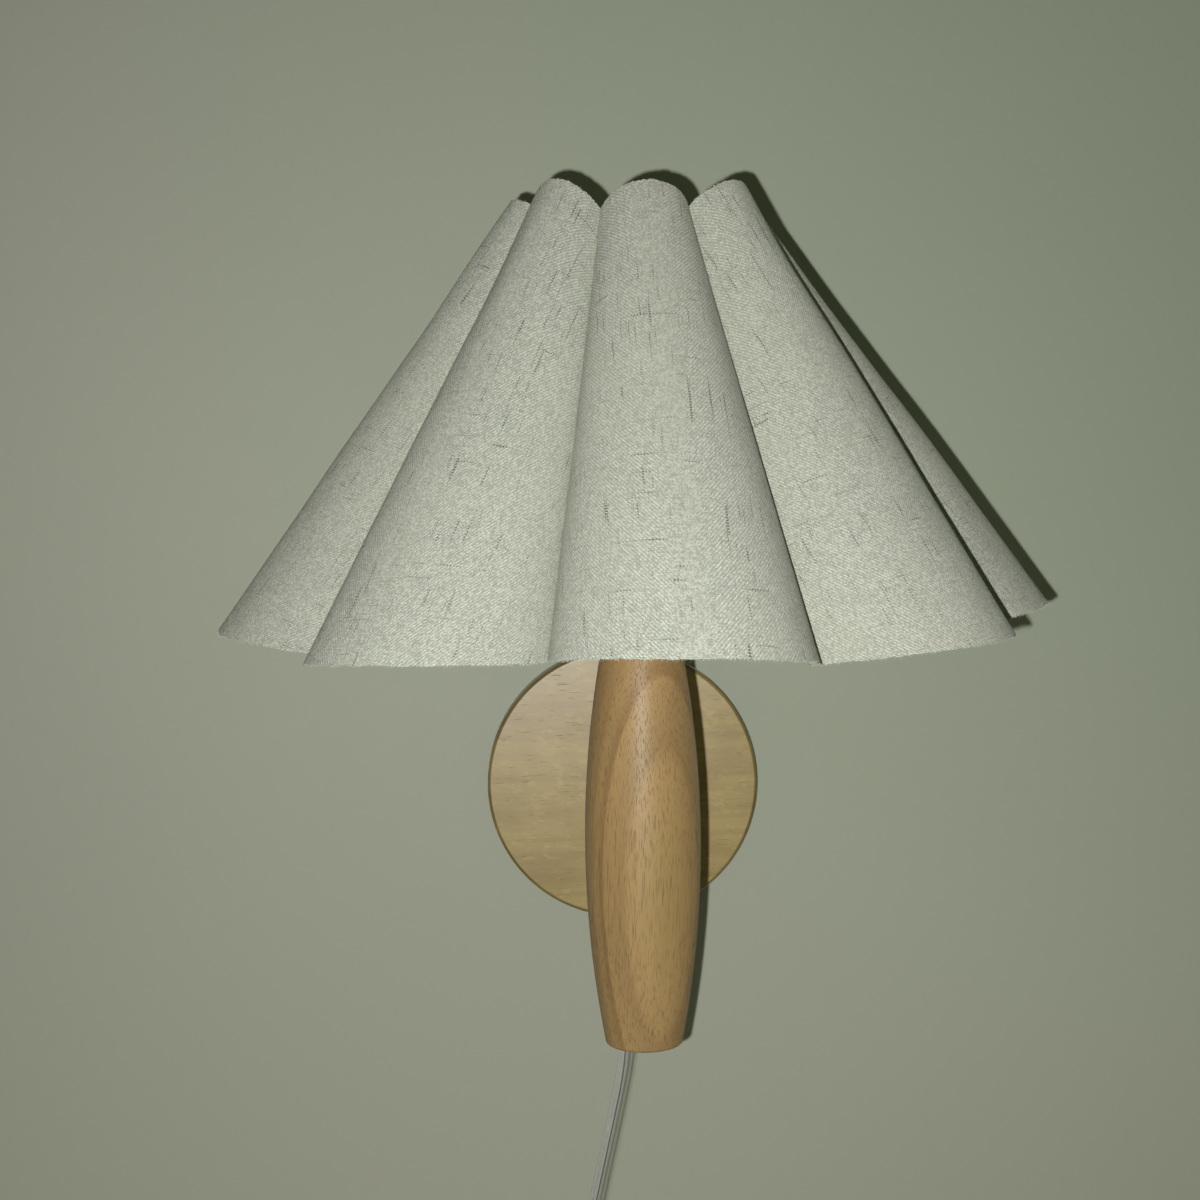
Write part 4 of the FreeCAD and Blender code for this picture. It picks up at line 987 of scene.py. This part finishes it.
def cord_route(look):
    """The route's points, from the spindle's lower end to the plug."""
    down = [on_axis(p) for p in CORD_DOWN]
    heading = (down[-1] - down[-2]).normalized()
    coil = coil_points(look, down[-1], heading)
    way = (coil[-1] - coil[-2]).normalized()
    run_out = (on_axis(PLUG_DROP[0]) - down[-1]).length
    drop = on_axis(PLUG_DROP[1]).z - on_axis(PLUG_DROP[0]).z
    turn_down = coil[-1] + way * run_out
    return down + coil + [turn_down, turn_down + Vector((0, 0, drop))]


def smooth_line(points):
    """The route as one smooth line, and the points that it passes."""
    curve = bpy.data.curves.new("cord_route", "CURVE")
    curve.dimensions = "3D"
    curve.resolution_u = 5
    spline = curve.splines.new("NURBS")
    spline.points.add(len(points) - 1)
    for spot, point in zip(spline.points, points):
        spot.co = (*point, 1)
    spline.order_u = 3
    spline.use_endpoint_u = True
    thing = bpy.data.objects.new("cord_route", curve)
    bpy.context.scene.collection.objects.link(thing)
    bpy.context.view_layer.update()
    mesh = bpy.data.meshes.new_from_object(thing.evaluated_get(bpy.context.evaluated_depsgraph_get()))
    line = [v.co.copy() for v in mesh.vertices]
    bpy.data.meshes.remove(mesh)
    bpy.data.objects.remove(thing)
    bpy.data.curves.remove(curve)
    return line


def swept(name, line, outline, sideways=0.0):
    """An outline carried along a line, its width kept in the plane of the wall."""
    mesh = bmesh.new()
    chart = mesh.loops.layers.uv.new("cord")
    rings, marks, gone = [], [], 0.0
    for n, spot in enumerate(line):
        before, after = line[max(n - 1, 0)], line[min(n + 1, len(line) - 1)]
        way = (after - before).normalized()
        wide = way.cross(Vector((0, 1, 0))).normalized()
        deep = wide.cross(way).normalized()
        gone += (spot - line[n - 1]).length if n else 0.0
        marks.append(gone)
        rings.append([mesh.verts.new(spot + wide * (x + sideways) + deep * y) for x, y in outline])
    count = len(outline)
    for n in range(len(line) - 1):
        for i in range(count):
            on = (i + 1) % count
            face = mesh.faces.new([rings[n][i], rings[n + 1][i], rings[n + 1][on], rings[n][on]])
            face.smooth = True
            spots = ((i, n), (i, n + 1), (i + 1, n + 1), (i + 1, n))
            for loop, (a, b) in zip(face.loops, spots):
                loop[chart].uv = (a / count, marks[b])
    mesh.faces.new(rings[0])
    mesh.faces.new(rings[-1][::-1])
    bmesh.ops.recalc_face_normals(mesh, faces=mesh.faces)
    return finished(name, mesh)


def twin_outline(width, thickness):
    """Two round cores side by side, joined by a web, as the cord's cross-section."""
    radius = thickness / 2
    apart = width / 2 - radius
    points = []
    for side, start in ((1, -120), (-1, 60)):
        for step in range(ARC_STEPS + 1):
            angle = radians(start + 240 * step / ARC_STEPS)
            points.append((side * apart + radius * cos(angle), radius * sin(angle)))
    return points


def round_outline(radius, sides):
    return [(radius * cos(2 * pi * n / sides), radius * sin(2 * pi * n / sides)) for n in range(sides)]


class WALL_LIGHT_OT_cord(Operator):
    """Run the clear twin cord from the spindle through the switch to its coil and plug"""

    bl_idname = "wall_light.cord"
    bl_label = "Clear Twin Cord"

    def execute(self, context):
        look = settings().cord
        line = smooth_line(cord_route(look))
        sheath = new_piece(
            "cord_sheath",
            swept("cord_sheath", line, twin_outline(look.width, look.thickness)),
            clear_cord_material(),
        )
        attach(sheath, "lamp")
        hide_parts("supply_cord")
        tinned = metal_material("tinned_strands", (0.88, 0.90, 0.88), (0.8, 0.82, 0.8), 0.5, 400.0)
        # the right core is dark grey, and draws a dark line along the cord's right side
        dark_core_metal = metal_material("dark_core_strands", (0.24, 0.235, 0.21), (0.2, 0.19, 0.17), 0.5, 400.0)
        apart = (look.width - look.thickness) / 2
        for side, label, metal in ((-1, "left", tinned), (1, "right", dark_core_metal)):
            outline = round_outline(look.thickness * CORE_SHARE, CORE_SIDES)
            mesh = swept(f"cord_core_{label}", line, outline, side * apart)
            core = new_piece(f"cord_core_{label}", mesh, metal)
            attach(core, "lamp")
        return {"FINISHED"}


# ---- carried-over pieces


ZINC_PIECES = (
    "hanging_strip", "hanging_strip_screws", "arm_bolt", "arm_bolt_washer", "swivel_stud",
    "arm_threaded_insert", "spindle_threaded_insert", "nipple", "nipple_nut",
    "lampholder_seat_washer", "switch_screws",
)
BRASS_PIECES = (
    "lampholder_screw_shell", "lampholder_centre_contact", "lampholder_terminal_screws",
    "switch_contacts", "plug_blades",
)
PLASTIC_PIECES = (
    "lampholder_cap", "lampholder_body", "lampholder_insulator", "shade_ring_lower",
    "shade_ring_upper", "cord_bushing", "switch_base", "switch_cover", "switch_rocker", "plug_body",
    "cord_ties", "lampholder_leads",
)


class WALL_LIGHT_OT_woodwork(Operator):
    """Finish the turned plate, arm and spindle as lacquered wood"""

    bl_idname = "wall_light.woodwork"
    bl_label = "Turned Wood"

    def execute(self, context):
        dress(["wall_plate"], plate_wood_material())
        dress(["spindle"], spindle_wood_material())
        dress(["arm", "arm_dowel"], arm_wood_material())
        return {"FINISHED"}


class WALL_LIGHT_OT_fittings(Operator):
    """Finish the metal and rubber that fix, turn and carry the light"""

    bl_idname = "wall_light.fittings"
    bl_label = "Metal Fittings"

    def execute(self, context):
        dress(ZINC_PIECES, metal_material("zinc_steel", (0.60, 0.60, 0.58), (0.42, 0.42, 0.40), 0.38))
        dress(BRASS_PIECES, metal_material("brass", (0.80, 0.60, 0.27), (0.48, 0.33, 0.14), 0.30))
        nickel = metal_material("bulb_metal", (0.74, 0.74, 0.74), (0.5, 0.5, 0.5), 0.28)
        dress(["bulb_screw_cap", "bulb_contact_tip"], nickel)
        wire = moulded_material("white_wire", (0.86, 0.86, 0.84), 0.34, 700.0, coat_weight=0.3)
        dress(["shade_carrier"], wire)
        rubber = moulded_material("black_rubber", (0.035, 0.035, 0.035), 0.62, 500.0)
        dress(["swivel_friction_washer"], rubber)
        return {"FINISHED"}


class WALL_LIGHT_OT_electrics(Operator):
    """Finish the lampholder, bulb, switch and plug"""

    bl_idname = "wall_light.electrics"
    bl_label = "Lampholder, Bulb, Switch and Plug"

    def execute(self, context):
        dress(PLASTIC_PIECES, moulded_material("white_plastic", (0.84, 0.84, 0.81), 0.30, 1100.0))
        dress(["bulb_globe"], frosted_glass_material())
        return {"FINISHED"}


# ---- stage

# the photograph's camera: its place, and how it turns left, down and over
CAMERA_PLACE = Vector((-0.04094, -0.80972, 0.12184))
CAMERA_YAW, CAMERA_PITCH, CAMERA_ROLL = -0.03953, -0.05049, -0.00811
CAMERA_LENS = 54
LAMP_BY_LENS = Vector((-0.0175, -0.013, 0.0))  # left of the lens and below it, in its own axes
WALL_Y = 0.0006  # the wall's face, 0.6 mm behind the part's back
FLOOR_DROP = 0.28  # from the part's lowest point to the floor
STAGE_SIZE = 6


def camera_turn():
    yaw = Matrix.Rotation(CAMERA_YAW, 4, "Z")
    pitch = Matrix.Rotation(pi / 2 + CAMERA_PITCH, 4, "X")
    roll = Matrix.Rotation(CAMERA_ROLL, 4, "Z")
    return yaw @ pitch @ roll


def soft_box(name, place, aim, size, power, shape="SQUARE", colour=(0.9, 1.0, 0.78)):
    """An area light at a place, facing a point."""
    deselect_all()
    bpy.ops.object.light_add(type="AREA", location=place)
    lamp = bpy.context.active_object
    lamp.name = name
    lamp.rotation_euler = (Vector(aim) - Vector(place)).to_track_quat("-Z", "Y").to_euler()
    lamp.data.shape = shape
    lamp.data.size = size
    lamp.data.energy = power
    lamp.data.color = colour
    return lamp


def backdrop(name, turn, place, material):
    """A large plane, turned and then set in its place."""
    deselect_all()
    bpy.ops.mesh.primitive_plane_add(size=STAGE_SIZE, location=(0, 0, 0), rotation=turn)
    plane = bpy.context.active_object
    plane.name = name
    bpy.ops.object.transform_apply(location=True, rotation=True, scale=True)
    plane.data.transform(Matrix.Translation(place))
    plane.data.materials.append(material)
    return plane


class WALL_LIGHT_OT_stage(Operator):
    """Set up the painted wall, the floor, the lights and the camera"""

    bl_idname = "wall_light.stage"
    bl_label = "Stage, Lights and Camera"

    def execute(self, context):
        look = settings().stage
        ground = LOWEST - FLOOR_DROP
        half = STAGE_SIZE / 2
        paint = stage_material("wall_paint", look.wall, 0.55, 0.5)
        wall = backdrop("wall_backdrop", (pi / 2, 0, 0), (0, WALL_Y, ground + half), paint)
        paint = stage_material("floor_paint", look.floor, 0.6, 0.3)
        floor = backdrop("floor", (0, 0, 0), (0, WALL_Y - half, ground), paint)

        middle = AXIS + Vector((0, 0, SPINDLE_TOP))
        turn = camera_turn()
        by_lens = CAMERA_PLACE + turn.to_3x3() @ LAMP_BY_LENS
        soft_box("light_by_lens", by_lens, middle, 0.006, look.lens_light, "DISK", (1, 1, 1))
        soft_box("soft_left", (-1.5, -1.3, -0.5), middle, 1.1, look.soft_light * 0.8)
        soft_box("soft_top", (0.3, -0.9, 1.7), middle, 1.2, look.soft_light)
        soft_box("soft_back", (0.9, 1.4, 0.5), middle, 1.2, look.soft_light * 5)

        world = context.scene.world or bpy.data.worlds.new("World")
        context.scene.world = world
        world.use_nodes = True
        sky = world.node_tree.nodes["Background"]
        sky.inputs["Color"].default_value = (0.9, 1.0, 0.62, 1)
        sky.inputs["Strength"].default_value = look.sky

        bpy.ops.object.camera_add()
        camera = bpy.context.active_object
        camera.name = "camera"
        camera.matrix_world = Matrix.Translation(CAMERA_PLACE) @ turn
        camera.data.sensor_width = 36
        camera.data.lens = CAMERA_LENS
        camera.data.clip_start = 0.01
        context.scene.camera = camera
        context.scene.view_settings.view_transform = "Standard"
        return {"FINISHED"}


# ---- panel and registration


class WALL_LIGHT_PT_panel(Panel):
    """The wall light's settings and the steps that build it"""

    bl_idname = "WALL_LIGHT_PT_panel"
    bl_label = "Wall Light"
    bl_space_type = "VIEW_3D"
    bl_region_type = "UI"
    bl_category = "Wall Light"

    def draw(self, context):
        layout = self.layout
        layout.use_property_split = True
        for title in ("Shade", "Wood", "Cord", "Stage"):
            group = getattr(settings(), title.lower())
            box = layout.box()
            box.label(text=title)
            for name in group.bl_rna.properties.keys():
                if name not in ("rna_type", "name"):
                    box.prop(group, name)
        for step in STEPS:
            layout.operator(step.bl_idname)


STEPS = (
    WALL_LIGHT_OT_stage,
    WALL_LIGHT_OT_cord,
    WALL_LIGHT_OT_shade,
    WALL_LIGHT_OT_woodwork,
    WALL_LIGHT_OT_fittings,
    WALL_LIGHT_OT_electrics,
)
GROUPS = (ShadeSettings, WoodSettings, CordSettings, StageSettings, WallLightSettings)


def register():
    for made in (*GROUPS, *STEPS, WALL_LIGHT_PT_panel):
        bpy.utils.register_class(made)
    bpy.types.Scene.wall_light = PointerProperty(type=WallLightSettings)


def unregister():
    del bpy.types.Scene.wall_light
    for made in reversed((*GROUPS, *STEPS, WALL_LIGHT_PT_panel)):
        bpy.utils.unregister_class(made)


def main():
    register()
    bpy.ops.wall_light.stage()
    bpy.ops.wall_light.cord()
    bpy.ops.wall_light.shade()
    bpy.ops.wall_light.woodwork()
    bpy.ops.wall_light.fittings()
    bpy.ops.wall_light.electrics()


if __name__ == "__main__":
    main()
